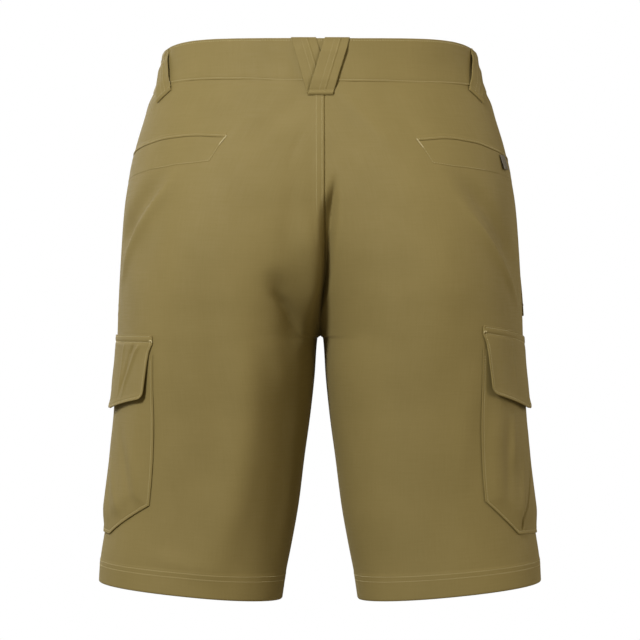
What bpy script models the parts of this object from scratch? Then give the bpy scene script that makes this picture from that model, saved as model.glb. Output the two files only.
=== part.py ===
"""Knee-length cargo shorts, filled out as if worn, with the waist and both legs open.

+Z is up, the front faces -Y and the wearer's left is +X. The origin is the centre of the waist, half way
up the waistband at the side seams. Sizes are in millimetres and become metres where a mesh is made.

The cloth is one smooth skin. A level is a height on it, before the waist tips forward and the hems tip
outward, and a distance round it is measured from the side seam, to the back above 0 and to the front
below 0. Every panel is a wall inside the skin, and every piece sewn on lies on points of the same skin,
moved out.
"""

import math
from collections import namedtuple
from functools import lru_cache

import bmesh
import bpy
import numpy as np
from mathutils import Matrix, Vector

MM = 0.001

# Heights of the garment's main lines
BAND_TOP = 20.0
WAIST_SEAM = -20.0
CROTCH = -259.0
HEM = -513.0

# Cloth and seams
CLOTH = 1.4
SEAM_GAP = 0.3
BAND_GAP = 0.45
BAND_OUT = 0.7
BAND_IN = 2.0
SEWN_ON = 0.5

# The band is higher at the back and dips at the front, its top edge is highest half way from each centre to
# the sides, and the hems are square to the spread legs.
BACK_RAISED = 15.0
FRONT_DIPPED = 8.0
BAND_WAVE = 2.0
HEM_SLOPE = 0.098

# How full the sections are between their widest points: 2 is an ellipse, and more is squarer.
FULLNESS = 2.1

# Rise curves of the centre seams, from the band down and under to the crotch
BACK_RISE = (3.2, 1.6)
FRONT_RISE = (4.0, 1.8)

# Half widths and depths of the skin. The ridges are where a section reaches furthest back and front, and
# inner is the inside of the leg.
Section = namedtuple("Section", "level outer back front back_ridge front_ridge inner")
SECTIONS = (
    Section(24, 156.5, 113, 113, 0, 0, 0),
    Section(0, 160.0, 115, 115, 0, 0, 0),
    Section(-20, 166.5, 118, 117, 0, 0, 0),
    Section(-31, 171.5, 120, 118, 6, 4, 0),
    Section(-44, 175.0, 122, 119, 18, 14, 0),
    Section(-74, 183.5, 128, 121, 42, 36, 0),
    Section(-104, 190.0, 133, 122, 61, 56, 0),
    Section(-134, 194.8, 136, 122, 75, 72, 0),
    Section(-174, 198.2, 137, 121, 87, 86, 0),
    Section(-214, 200.5, 134, 119, 95, 96, 0),
    Section(-240, 201.5, 130, 117, 99, 101, 0),
    Section(-259, 202.0, 127, 116, 102, 104, 0),
    Section(-264, 202.1, 126, 115.5, 103, 105, 3.4),
    Section(-300, 202.7, 120, 111, 105, 107, 6.0),
    Section(-340, 203.4, 112, 106, 108, 109, 10.0),
    Section(-380, 206.0, 105, 101, 112, 112, 15.5),
    Section(-420, 210.3, 99, 97, 117, 117, 21.0),
    Section(-460, 215.2, 94, 94, 122, 122, 28.5),
    Section(-490, 219.5, 91, 92, 126, 126, 34.5),
    Section(-513, 221.0, 89, 91, 129, 129, 38.0),
)

# Soft folds of the cloth between two places on the skin: a ridge, or a trough where its height is below 0.
# Bow is how far its middle lies off the straight line.
Fold = namedtuple("Fold", "side around_start level_start around_end level_end bow width height")
FOLDS = (
    Fold("left", 134, -102, 36, -216, 0, 13, 2.6),
    Fold("left", 118, -106, 28, -180, 0, 16, -4.6),
    Fold("left", 222, -192, 268, -266, 0, 13, -6.5),
    Fold("left", 216, -210, 162, -505, -10, 22, 5.2),
    Fold("left", 262, -250, 232, -505, -4, 24, -3.5),
    Fold("left", 148, -140, 152, -380, 4, 22, 1.4),
    Fold("right", 148, -123, 42, -236, -6, 13, 2.4),
    Fold("right", 144, -100, 46, -208, 2, 16, -4.6),
    Fold("right", 170, -160, 182, -330, 4, 24, 1.4),
    Fold("left", -215, -176, -262, -262, 0, 15, -4.5),
    Fold("left", -150, -196, -238, -252, 6, 15, -3.2),
    Fold("left", -170, -270, -182, -470, 5, 24, 2.6),
    Fold("right", -205, -168, -256, -262, 0, 15, -4.8),
    Fold("right", -140, -214, -226, -250, 8, 15, -2.8),
    Fold("right", -176, -290, -168, -480, -5, 24, 2.8),
)

# The centre back seam lies a little to the wearer's right, and comes back to the middle at the crotch. Lower
# down the cloth is drawn into a crease, which starts on the right of the seam and crosses it: levels, and
# distances to the left of the seam.
BACK_SEAM_LEAN = -4.5
BACK_SEAM_LEAN_REACH = 60.0
BACK_SEAM_STRAIGHTENS = (185.0, 262.0)
CREASE_DEPTH = 11.0
CREASE_REACH = 12.0
CREASE_TOP = -102.0
CREASE_FULL = -150.0
CREASE_END = -232.0
CREASE_LEVELS = (-246, -211, -178, -143, -121, -113)
CREASE_RUNS = (2, -2, -3.4, -6.6, -10, -11)

# Panels: squares across, and down above and below the crotch
PANEL_COLUMNS = 14
TORSO_ROWS = 13
LEG_ROWS = 12

# Back pocket welts, from the side seam to their inner end: the opening is their top edge.
WeltStation = namedtuple("WeltStation", "around top bottom")
WELT = {
    "left": (
        WeltStation(10, -83.0, -109.0), WeltStation(40, -80.0, -106.0), WeltStation(66, -77.0, -103.8),
        WeltStation(97, -74.0, -101.5), WeltStation(134, -73.0, -99.3), WeltStation(164, -75.0, -96.5),
    ),
    "right": (
        WeltStation(10, -89.0, -109.5), WeltStation(40, -86.0, -107.0), WeltStation(66, -82.6, -105.0),
        WeltStation(97, -77.6, -103.6), WeltStation(130, -75.3, -101.8), WeltStation(163, -78.0, -98.5),
    ),
}

# The tab at the outer end of the right back pocket
TAB_PLACE = 50.0
TAB_WIDTH = 12.0
TAB_TOP = -86.0
TAB_LENGTH = 14.0

# Cargo pockets: the middle of each, behind the side seam, how far it tips up to the back, and its cut
POCKET_MIDDLE = {"left": 30.0, "right": 36.0}
POCKET_TIP = {"left": 0.0, "right": 0.06}
FLAP_TIP = {"left": 0.0, "right": 0.11}
POCKET_HALF_WIDTH = 85.0
POCKET_NARROWS = 13.0
POCKET_TOP = -277.0
POCKET_CORNER = -425.5
POCKET_BOTTOM = -459.5
POCKET_FLAT_BOTTOM = {"left": 17.0, "right": 37.0}
POCKET_STANDS = 3.8
POCKET_FLAT = 1.1
PLEAT_DEPTH = 1.3

# Cargo flaps: sewn down along the top, standing off the pocket towards the bottom
FLAP_TOP = -258.5
FLAP_STITCHED = 7.0
FLAP_CORNER = -319.5
FLAP_BOTTOM = -331.5
FLAP_FLAT_BOTTOM = 10.0
FLAP_NARROWS = 15.4
FLAP_STANDS = 8.1

# Slanted edge of each front hand pocket
HAND_POCKET_TOP = (-76.0, -21.0)
HAND_POCKET_END = {"left": (-14.0, -240.0), "right": (-1.0, -240.0)}
HAND_POCKET_EDGE = 12.0

# Fly: the strip that covers the front opening
FLY_WIDTH = 36.0
FLY_END = -150.0
FLY_ROUND = 34.0

# Waistband ends and button
BAND_OVERLAP = 22.0
BAND_UNDERLAP = 26.0
BAND_RAMP = 34.0
BUTTON_RADIUS = 8.5
BUTTON_THICK = 3.0
BUTTON_PAST_CENTRE = 4.0

# Belt loops stand off the band between their sewn ends.
LOOP_THICK = 1.8
LOOP_STANDS = 2.2
LOOP_SEWN = 8.0
LOOP_WIDTH = 22.0
LOOP_BOTTOM = -27.0
SIDE_LOOP_TOP = 185.0
SIDE_LOOP_LOW = 171.0
SIDE_LOOP_SLANTS = (8.0, 11.0)
SIDE_LOOP_BOTTOM = -25.0
FRONT_LOOP_OFF_CENTRE = 82.0
BACK_LOOP_WIDTH = 24.0
BACK_LOOP_SPREAD = 16.3
BACK_LOOP_MIDDLE = (-0.4, 4.1)
BACK_LOOP_BOTTOM = -35.0

KHAKI = (143, 129, 81)
TAB_GREY = (70, 68, 62)
BUTTON_BROWN = (74, 64, 42)


def clear_scene():
    for thing in list(bpy.data.objects):
        bpy.data.objects.remove(thing, do_unlink=True)


def linear(channel):
    share = channel / 255
    return share / 12.92 if share <= 0.04045 else ((share + 0.055) / 1.055) ** 2.4


def material(name, colour, roughness):
    made = bpy.data.materials.new(name)
    made.use_nodes = True
    shader = made.node_tree.nodes["Principled BSDF"]
    shader.inputs["Base Color"].default_value = (*[linear(c) for c in colour], 1)
    shader.inputs["Roughness"].default_value = roughness
    return made


def smooth_column(name):
    """A smooth curve through one column of the sections, with no overshoot between its rows."""
    rows = sorted(SECTIONS)
    levels = np.array([row.level for row in rows], float)
    values = np.array([getattr(row, name) for row in rows], float)
    steps = np.diff(levels)
    rises = np.diff(values) / steps
    slopes = np.zeros(len(values))
    slopes[0], slopes[-1] = rises[0], rises[-1]
    for i in range(1, len(rises)):
        if rises[i - 1] * rises[i] > 0:
            slopes[i] = 2 * rises[i - 1] * rises[i] / (rises[i - 1] + rises[i])

    def value(level):
        i = min(max(int(np.searchsorted(levels, level)) - 1, 0), len(steps) - 1)
        t = (level - levels[i]) / steps[i]
        start = values[i] + slopes[i] * steps[i] * t * (1 - t) ** 2
        blend = t * t * (3 - 2 * t)
        end = slopes[i + 1] * steps[i] * t * t * (t - 1)
        return start + (values[i + 1] - values[i]) * blend + end

    return value


COLUMN = {name: smooth_column(name) for name in Section._fields[1:]}


def rise_share(level, rise):
    """How far out the centre seam runs at a level: 1 at the waist and 0 at the crotch."""
    down = min(max((WAIST_SEAM - level) / (WAIST_SEAM - CROTCH), 0), 1)
    bend, turn = rise
    return (1 - down**bend) ** (1 / turn)


def quarter_arcs(outer, ridge, inner, depth, seam_share, opened):
    """From the side seam out to the ridge, and on to the centre seam or the inseam, as points (x, y). Opened
    is 0 at the crotch, where only the cloth near the inseam moves apart, and 1 further down."""
    power = 2 / FULLNESS
    cut = (1 - seam_share**FULLNESS) ** (1 / FULLNESS)
    points = []
    for angle in np.linspace(0, math.pi / 2, 33):
        across = (outer - ridge) * max(math.cos(angle), 0) ** power
        points.append((ridge + across, depth * math.sin(angle) ** power))
    for angle in np.linspace(math.pi / 2, 0, 33)[1:]:
        reach = max(math.cos(angle), 0)
        points.append((
            ridge * (1 - reach) + inner * between(reach**6, reach, opened),
            depth * (1 - (reach * cut) ** FULLNESS) ** (1 / FULLNESS),
        ))
    return np.array(points)


@lru_cache(maxsize=None)
def half_section(level, at_back):
    """The points (x, y) of the back or front of a section, and how far round each is from the side seam."""
    size = {name: float(column(level)) for name, column in COLUMN.items()}
    opened = soft_step(-level, 264, 345)
    if at_back:
        seam = rise_share(level, BACK_RISE)
        points = quarter_arcs(size["outer"], size["back_ridge"], size["inner"], size["back"], seam, opened)
    else:
        seam = rise_share(level, FRONT_RISE)
        points = quarter_arcs(size["outer"], size["front_ridge"], size["inner"], size["front"], seam, opened)
        points[:, 1] *= -1
    lengths = np.hypot(*np.diff(points, axis=0).T)
    return points, np.concatenate([[0], np.cumsum(lengths)])


def girth(level, at_back=True):
    """From the side seam to the centre seam or inseam, round the back or the front."""
    return half_section(round(level, 3), at_back)[1][-1]


def skin(share, level):
    """The skin of the wearer's left half. Share is 0 at the side seam, 1 at the back seam, -1 at the front."""
    points, distances = half_section(round(level, 3), share >= 0)
    distance = min(abs(share), 1) * distances[-1]
    x = np.interp(distance, distances, points[:, 0])
    y = np.interp(distance, distances, points[:, 1])
    above_crotch = min(max((level - CROTCH) / (WAIST_SEAM - CROTCH), 0), 1)
    below_crotch = min(max((CROTCH - level) / (CROTCH - HEM), 0), 1)
    turn = y / COLUMN["back" if share >= 0 else "front"](level)
    tilt = (BACK_RAISED * turn - FRONT_DIPPED * turn * turn) * above_crotch
    tilt -= BAND_WAVE * math.cos(1.5 * math.pi * turn) * soft_step(level, WAIST_SEAM, BAND_TOP)
    leg_middle = (COLUMN["outer"](HEM) + COLUMN["inner"](HEM)) / 2
    slope = HEM_SLOPE * (x - leg_middle) * below_crotch**2
    return Vector((x, y, level + tilt + slope))


def outward(share, level):
    """The direction straight out of the skin."""
    step, rise = 0.004, 1.0
    along = skin(share + step, level) - skin(share - step, level)
    up = skin(share, level + rise) - skin(share, level - rise)
    straight = up.cross(along)
    straight.normalize()
    place = skin(share, level)
    # The side seam's outward direction is +X, and the skin turns away from there without a break.
    middle = Vector((COLUMN["back_ridge"](level), 0, place.z))
    return straight if straight.dot(place - middle) > 0 else -straight


def fold_height(side, around, level):
    total = 0.0
    for fold in FOLDS:
        if fold.side != side:
            continue
        start = Vector((fold.around_start, fold.level_start))
        run = Vector((fold.around_end, fold.level_end)) - start
        here = Vector((around, level)) - start
        along = here.dot(run) / run.length_squared
        off = here.cross(run) / run.length - fold.bow * 4 * along * (1 - along)
        ends = max(0, 1 - (2 * along - 1) ** 4) if 0 < along < 1 else 0
        total += fold.height * ends * math.exp(-((off / fold.width) ** 2))
    return total


def centre_crease(run, level):
    """How far the cloth is drawn in near the centre back seam, by the distance to the left of the seam."""
    drawn = soft_step(-level, -CREASE_TOP, -CREASE_FULL) * soft_step(level, CREASE_END, CREASE_FULL)
    off = run - float(np.interp(level, CREASE_LEVELS, CREASE_RUNS))
    return CREASE_DEPTH * drawn * math.exp(-math.hypot(off, 1) / CREASE_REACH)


def on_cloth(side, around, level, lift=0.0):
    """A point in metres, on one side of the garment, moved out of the skin by lift."""
    length = girth(level, around >= 0)
    share = around / length
    place = skin(share, level) + outward(share, level) * (lift + fold_height(side, around, level))
    if around >= 0:
        to_seam = length - around
        place.y -= centre_crease(to_seam if side == "left" else -to_seam, level)
    place.x += SEAM_GAP / 2
    if side == "right":
        place.x *= -1
    lean = BACK_SEAM_LEAN * math.exp(-((place.x / BACK_SEAM_LEAN_REACH) ** 2))
    lean *= 1 - soft_step(-place.z, *BACK_SEAM_STRAIGHTENS)
    place.x += lean * soft_step(place.y, 0, 60) * soft_step(-place.z, -BAND_TOP, -WAIST_SEAM)
    return place * MM


def round_waist(run, level, lift):
    """A point by its distance round from the centre back, to the wearer's left above 0."""
    side = "left" if run >= 0 else "right"
    around = girth(level) - abs(run)
    past_centre = -around - girth(level, False)
    if past_centre > 0:
        side = "right" if side == "left" else "left"
        around = -girth(level, False) + past_centre
    return on_cloth(side, around, level, lift)


def wall(name, outside, inside, finish):
    """A closed wall between two grids of points, the outer and the inner face of the same cloth."""
    rows, columns = len(outside), len(outside[0])
    points = [point for grid in (outside, inside) for row in grid for point in row]

    def number(layer, i, j):
        return (layer * rows + i) * columns + j

    faces = []
    for i in range(rows - 1):
        for j in range(columns - 1):
            for layer in (0, 1):
                faces.append([number(layer, *corner)
                              for corner in ((i, j), (i + 1, j), (i + 1, j + 1), (i, j + 1))])
    for i in range(rows - 1):
        for j in (0, columns - 1):
            faces.append([number(0, i, j), number(0, i + 1, j), number(1, i + 1, j), number(1, i, j)])
    for j in range(columns - 1):
        for i in (0, rows - 1):
            faces.append([number(0, i, j), number(0, i, j + 1), number(1, i, j + 1), number(1, i, j)])

    mesh = bpy.data.meshes.new(name)
    mesh.from_pydata(points, [], faces)
    shape = bmesh.new()
    shape.from_mesh(mesh)
    bmesh.ops.recalc_face_normals(shape, faces=shape.faces)
    shape.to_mesh(mesh)
    shape.free()
    mesh.shade_smooth()
    return add_piece(name, mesh, finish)


def add_piece(name, mesh, finish):
    mesh.set_sharp_from_angle(angle=math.radians(40))
    piece = bpy.data.objects.new(name, mesh)
    mesh.materials.append(finish)
    SHORTS.objects.link(piece)
    return piece


def patch(name, side, place, lifts, columns, rows, finish):
    """A piece sewn onto the cloth. Place gives (around, level) and lifts gives (inside, outside), both
    from two shares, across and down the piece."""
    inside, outside = [], []
    for i in range(rows + 1):
        down = i / rows
        spots = [(place(j / columns, down), lifts(j / columns, down)) for j in range(columns + 1)]
        inside.append([on_cloth(side, *spot, lift[0]) for spot, lift in spots])
        outside.append([on_cloth(side, *spot, lift[1]) for spot, lift in spots])
    return wall(name, outside, inside, finish)


def between(start, end, share):
    return start + (end - start) * share


def soft_step(value, start, end):
    """0 at start and 1 at end, with a smooth change between."""
    share = min(max((value - start) / (end - start), 0), 1)
    return share * share * (3 - 2 * share)


def panel_level(row, share):
    """Rows are even at the side seam. At the other edge they close up where it turns under at the crotch."""
    if row <= TORSO_ROWS:
        down = row / TORSO_ROWS
        start, end, closing = WAIST_SEAM, CROTCH, math.sin(math.pi / 2 * down)
    else:
        down = (row - TORSO_ROWS) / LEG_ROWS
        start, end, closing = CROTCH, HEM, down**1.6
    return between(start, end, between(down, closing, share * share))


def make_panel(side, at_back):
    """A back or front leg panel, from the side seam to the centre seam and the inseam."""
    inside, outside = [], []
    for i in range(TORSO_ROWS + LEG_ROWS + 1):
        row_in, row_out = [], []
        for j in range(PANEL_COLUMNS + 1):
            share = math.sin(math.pi / 2 * j / PANEL_COLUMNS) ** 0.9
            level = panel_level(i, share)
            around = between(SEAM_GAP / 2, girth(level, at_back) - SEAM_GAP / 2, share)
            around = around if at_back else -around
            row_in.append(on_cloth(side, around, level, -CLOTH))
            row_out.append(on_cloth(side, around, level))
        inside.append(row_in)
        outside.append(row_out)
    return wall(f"{'back' if at_back else 'front'}_panel_{side}", outside, inside, FABRIC)


def make_waistband():
    """One strip round the waist. Its left front end lies over its right front end."""
    half = girth(0) + girth(0, False)
    start, end = -(half + BAND_UNDERLAP), half + BAND_OVERLAP
    levels = (BAND_TOP, 0.0, WAIST_SEAM + BAND_GAP)
    columns = 84
    inside, outside = [], []
    for level in levels:
        row_in, row_out = [], []
        for j in range(columns + 1):
            run = between(start, end, j / columns)
            over = soft_step(run, half - BAND_UNDERLAP - BAND_RAMP, half - BAND_UNDERLAP - 4)
            lift = over * (BAND_OUT + BAND_IN + SEWN_ON)
            row_in.append(round_waist(run, level, lift - BAND_IN))
            row_out.append(round_waist(run, level, lift + BAND_OUT))
        inside.append(row_in)
        outside.append(row_out)
    return wall("waistband", outside, inside, FABRIC)


def make_welt(side):
    """The welt under the opening of a back pocket."""

    stations = [station.around for station in WELT[side]]
    tops = [station.top for station in WELT[side]]
    bottoms = [station.bottom for station in WELT[side]]

    def place(across, down):
        around = between(stations[0], stations[-1], across)
        top, bottom = np.interp(around, stations, tops), np.interp(around, stations, bottoms)
        return around, between(float(top), float(bottom), down)

    def lifts(across, down):
        return SEWN_ON, SEWN_ON + CLOTH * (1 - 0.4 * down)

    return patch(f"back_pocket_welt_{side}", side, place, lifts, 9, 2, FABRIC)


def make_tab():
    """A plain folded tab in the end of the right back pocket."""

    def place(across, down):
        return TAB_PLACE + (across - 0.5) * TAB_WIDTH, TAB_TOP - TAB_LENGTH * down

    def lifts(across, down):
        return 2 * SEWN_ON + CLOTH, 2 * SEWN_ON + CLOTH + 1.0

    return patch("pocket_tab", "right", place, lifts, 2, 2, TAB)


def pointed_edge(across, flat_half, corner, bottom):
    """The level of a bottom edge that is flat in the middle and rises to a corner at each side."""
    off_middle = abs(2 * across - 1) * POCKET_HALF_WIDTH
    return between(bottom, corner, max(off_middle - flat_half, 0) / (POCKET_HALF_WIDTH - flat_half))


def make_cargo_pocket(side):
    """A patch pocket with cut corners and a pleat down its middle."""

    def place(across, down):
        edge = pointed_edge(across, POCKET_FLAT_BOTTOM[side], POCKET_CORNER, POCKET_BOTTOM)
        off_middle = (2 * across - 1) * (POCKET_HALF_WIDTH - POCKET_NARROWS * down)
        level = between(POCKET_TOP, edge, down) + POCKET_TIP[side] * off_middle
        return POCKET_MIDDLE[side] + off_middle, level

    def lifts(across, down):
        from_edge = min(across, 1 - across, 1 - down) * 2 * POCKET_HALF_WIDTH
        body = between(0.4, 1, soft_step(from_edge, 0, 25)) * between(0.28, 1, soft_step(down, 0.12, 0.55))
        pleat = PLEAT_DEPTH * body if abs(across - 0.5) < 0.01 else 0
        return SEWN_ON, SEWN_ON + max(POCKET_STANDS * body - pleat * (1 - down**4), POCKET_FLAT)

    return patch(f"cargo_pocket_{side}", side, place, lifts, 12, 9, FABRIC)


def make_cargo_flap(side):
    """The flap over a cargo pocket, stitched flat along its top."""
    drops = (0, 0.5 * FLAP_STITCHED, FLAP_STITCHED, 1.7 * FLAP_STITCHED, 2.5 * FLAP_STITCHED)
    stitched = len(drops) - 1
    rows = stitched + 4

    def place(across, down):
        edge = pointed_edge(across, FLAP_FLAT_BOTTOM, FLAP_CORNER, FLAP_BOTTOM)
        i = round(down * rows)
        near = FLAP_TOP - drops[min(i, stitched)]
        level = near if i <= stitched else between(near, edge, (i - stitched) / (rows - stitched))
        freed = max(FLAP_TOP - FLAP_STITCHED - level, 0) / (FLAP_TOP - FLAP_STITCHED - FLAP_BOTTOM)
        narrowing = FLAP_NARROWS * between(freed, soft_step(freed, 0, 0.16), 0.2)
        off_middle = (2 * across - 1) * (POCKET_HALF_WIDTH + 1 - narrowing)
        tip = between(FLAP_TIP[side], POCKET_TIP[side], (FLAP_TOP - level) / (FLAP_TOP - FLAP_BOTTOM))
        return POCKET_MIDDLE[side] + off_middle, level + tip * off_middle

    def lifts(across, down):
        over_pocket = 2 * SEWN_ON + POCKET_FLAT
        i = round(down * rows)
        if i <= stitched:
            inside = between(SEWN_ON, over_pocket, soft_step(i, 2, stitched))
        else:
            freed = (i - stitched) / (rows - stitched)
            inside = between(over_pocket, FLAP_STANDS - CLOTH, freed**1.15)
        return inside, inside + CLOTH

    return patch(f"cargo_flap_{side}", side, place, lifts, 12, rows, FABRIC)


def make_hand_pocket_edge(side):
    """The folded edge of a slanted hand pocket, from the band to the side seam."""

    def place(across, down):
        bow = 6 * math.sin(math.pi * down)
        middle = between(HAND_POCKET_TOP[0], HAND_POCKET_END[side][0], down) + bow
        level = between(HAND_POCKET_TOP[1], HAND_POCKET_END[side][1], down)
        return middle - HAND_POCKET_EDGE * (1 - across), level

    def lifts(across, down):
        return SEWN_ON, SEWN_ON + CLOTH

    return patch(f"hand_pocket_edge_{side}", side, place, lifts, 2, 14, FABRIC)


def make_fly():
    """The strip that covers the front opening, with a rounded lower corner."""

    def place(across, down):
        rounding = FLY_ROUND * (1 - math.sqrt(1 - across**2))
        level = between(WAIST_SEAM - SEAM_GAP, FLY_END + rounding, down)
        return -girth(level, False) + 1 + FLY_WIDTH * across, level

    def lifts(across, down):
        return SEWN_ON, SEWN_ON + CLOTH

    return patch("fly", "left", place, lifts, 6, 9, FABRIC)


def make_button():
    """The waist button, a rimmed disc on the band's outer end."""
    half = girth(0) + girth(0, False)
    seat_lift = 2 * BAND_OUT + BAND_IN + 2 * SEWN_ON
    seat = round_waist(half + BUTTON_PAST_CENTRE, 0, seat_lift)
    out = round_waist(half + BUTTON_PAST_CENTRE, 0, seat_lift + BUTTON_THICK / 2)
    shape = bmesh.new()
    bmesh.ops.create_cone(
        shape, cap_ends=True, segments=24, radius1=BUTTON_RADIUS * MM, radius2=BUTTON_RADIUS * MM,
        depth=BUTTON_THICK * MM,
    )
    top = max(shape.faces, key=lambda face: face.calc_center_median().z)
    bmesh.ops.inset_region(shape, faces=[top], thickness=1.6 * MM, depth=-0.7 * MM)
    turned = Vector((0, 0, 1)).rotation_difference(out - seat).to_matrix().to_4x4()
    bmesh.ops.transform(shape, matrix=Matrix.Translation(out) @ turned, verts=shape.verts)
    mesh = bpy.data.meshes.new("waist_button")
    shape.to_mesh(mesh)
    shape.free()
    return add_piece("waist_button", mesh, BUTTON)


def make_strap(name, place, width, bottom, slants=(0.0, 0.0), extra=0.0):
    """A belt loop: a doubled strip down the band, held at its ends and clear of the band between them.
    Place gives how far round from the centre back its middle is, from the share down it and its level.
    Slants are how far its top and bottom edges fall away from the centre back."""
    rows, columns = 12, 2
    inside, outside = [], []
    for i in range(rows + 1):
        down = i / rows
        level = between(BAND_TOP + 0.6, bottom, down)
        from_end = min(BAND_TOP - level, level - bottom)
        stand = LOOP_STANDS * soft_step(from_end, LOOP_SEWN - 4, LOOP_SEWN + 6)
        on_band = between(0, BAND_OUT, soft_step(level, WAIST_SEAM - 6, WAIST_SEAM - 1))
        over = extra * soft_step(-level, -19, -7)
        lift = SEWN_ON + on_band + stand + over
        row_in, row_out = [], []
        for j in range(columns + 1):
            middle = place(down, level)
            run = middle + (j / columns - 0.5) * width
            outer = j / columns if middle > 0 else 1 - j / columns
            edge_level = level - between(*slants, down) * outer
            row_in.append(round_waist(run, edge_level, lift))
            row_out.append(round_waist(run, edge_level, lift + LOOP_THICK))
        inside.append(row_in)
        outside.append(row_out)
    return wall(name, outside, inside, FABRIC)


def make_belt_loops():
    """A crossed pair at the centre back, and single loops at the sides and the front."""
    for side, sign in (("left", 1), ("right", -1)):

        def back_place(down, level):
            middle = between(*BACK_LOOP_MIDDLE, soft_step(-level, -12, 28))
            return middle + sign * between(BACK_LOOP_SPREAD, 0, down)

        def side_place(down, level):
            return sign * between(SIDE_LOOP_TOP, SIDE_LOOP_LOW, down)

        def front_place(down, level):
            return sign * (girth(level) + girth(level, False) - FRONT_LOOP_OFF_CENTRE)

        over = LOOP_THICK + SEWN_ON if side == "right" else 0
        make_strap(f"back_loop_{side}_strap", back_place, BACK_LOOP_WIDTH, BACK_LOOP_BOTTOM, extra=over)
        make_strap(f"side_loop_{side}", side_place, LOOP_WIDTH, SIDE_LOOP_BOTTOM, slants=SIDE_LOOP_SLANTS)
        make_strap(f"front_loop_{side}", front_place, LOOP_WIDTH, LOOP_BOTTOM)


clear_scene()
SHORTS = bpy.data.collections.new("cargo_shorts")
bpy.context.scene.collection.children.link(SHORTS)
FABRIC = material("khaki_stretch_woven", KHAKI, 0.75)
TAB = material("grey_woven_tab", TAB_GREY, 0.6)
BUTTON = material("brown_button", BUTTON_BROWN, 0.4)

for each_side in ("left", "right"):
    make_panel(each_side, at_back=True)
    make_panel(each_side, at_back=False)
    make_welt(each_side)
    make_hand_pocket_edge(each_side)
    make_cargo_pocket(each_side)
    make_cargo_flap(each_side)
make_waistband()
make_belt_loops()
make_fly()
make_button()
make_tab()
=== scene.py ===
"""The looks of a pair of knee-length cargo shorts in olive khaki stretch cloth, seen from the back.

Sizes are in millimetres unless a name says otherwise. A level is a height on the cloth before the waist tips
forward and the hems tip outward. A distance round it starts at the side seam, and is above 0 to the back
and below 0 to the front.
"""

import math
from collections import namedtuple
from functools import partial

import bpy
import numpy as np
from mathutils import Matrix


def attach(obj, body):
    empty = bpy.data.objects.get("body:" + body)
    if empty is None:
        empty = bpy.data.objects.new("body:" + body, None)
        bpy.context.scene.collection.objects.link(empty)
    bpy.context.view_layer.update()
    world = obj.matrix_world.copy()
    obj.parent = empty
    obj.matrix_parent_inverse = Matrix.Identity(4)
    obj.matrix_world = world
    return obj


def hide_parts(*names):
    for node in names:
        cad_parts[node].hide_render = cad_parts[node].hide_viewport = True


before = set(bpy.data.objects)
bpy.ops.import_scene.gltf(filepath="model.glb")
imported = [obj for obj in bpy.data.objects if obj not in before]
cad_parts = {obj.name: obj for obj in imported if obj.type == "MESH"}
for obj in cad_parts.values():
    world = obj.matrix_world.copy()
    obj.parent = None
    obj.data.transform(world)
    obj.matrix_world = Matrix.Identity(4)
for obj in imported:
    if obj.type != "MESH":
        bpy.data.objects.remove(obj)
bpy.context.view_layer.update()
bpy.ops.object.select_all(action="DESELECT")


# ---------------------------------------------------------------------------------------------------------
# Leg panels: four pieces of stretch woven cloth, cut to shape and sewn at the sides, the centre and the
# inside leg. Filled out as worn, they are one smooth hollow form with a few soft folds.
# ---------------------------------------------------------------------------------------------------------
MM = 0.001

# Levels of the edges, the thickness of the cloth, and how far the panels lap where they meet at the centre
BAND_TOP = 20.0
WAIST_SEAM = -20.0
CROTCH = -259.0
HEM = -513.0
CLOTH = 1.4
MEETING = 0.1

# How the waist tips and waves, how the hems slope, and how full a section is: 2 would be an ellipse
BACK_RAISED = 15.0
FRONT_DIPPED = 8.0
BAND_WAVE = 2.0
HEM_SLOPE = 0.098
BAND_WAVES = 1.5
FULLNESS = 2.1

# How the centre seams turn under at the crotch, and the levels between which the inside legs take their shape
BACK_RISE = (3.2, 1.6)
FRONT_RISE = (4.0, 1.8)
CROTCH_HOOK = 6
INSIDE_LEG_SHAPES = (-264.0, -345.0)

# The form's sections: half widths, depths, how far from the middle each half is deepest, and how far from it
# the inside leg lies
Section = namedtuple("Section", "level outer back front back_ridge front_ridge inner")
SECTIONS = (
    Section(24, 156.5, 113, 113, 0, 0, 0),
    Section(0, 160.0, 115, 115, 0, 0, 0),
    Section(-20, 166.5, 118, 117, 0, 0, 0),
    Section(-31, 171.5, 120, 118, 6, 4, 0),
    Section(-44, 175.0, 122, 119, 18, 14, 0),
    Section(-74, 183.5, 128, 121, 42, 36, 0),
    Section(-104, 190.0, 133, 122, 61, 56, 0),
    Section(-134, 194.8, 136, 122, 75, 72, 0),
    Section(-174, 198.2, 137, 121, 87, 86, 0),
    Section(-214, 200.5, 134, 119, 95, 96, 0),
    Section(-240, 201.5, 130, 117, 99, 101, 0),
    Section(-259, 202.0, 127, 116, 102, 104, 0),
    Section(-261.5, 202.1, 126.5, 115.7, 102.5, 104.5, 3.3),
    Section(-300, 202.7, 120, 111, 105, 107, 6.0),
    Section(-340, 203.4, 112, 106, 108, 109, 10.0),
    Section(-380, 206.0, 105, 101, 112, 112, 15.5),
    Section(-420, 210.3, 99, 97, 117, 117, 21.0),
    Section(-460, 215.2, 94, 94, 122, 122, 28.5),
    Section(-490, 219.5, 91, 92, 126, 126, 34.5),
    Section(-513, 221.0, 89, 91, 129, 129, 38.0),
)

# Soft folds between two places on the cloth: ridges, or troughs where the height is below 0. Bow is how far
# a fold's middle lies off its straight line. Each fades out over a share of its length at both ends.
FOLD_FADES = 0.36
Fold = namedtuple("Fold", "side around_start level_start around_end level_end bow width height")

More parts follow.
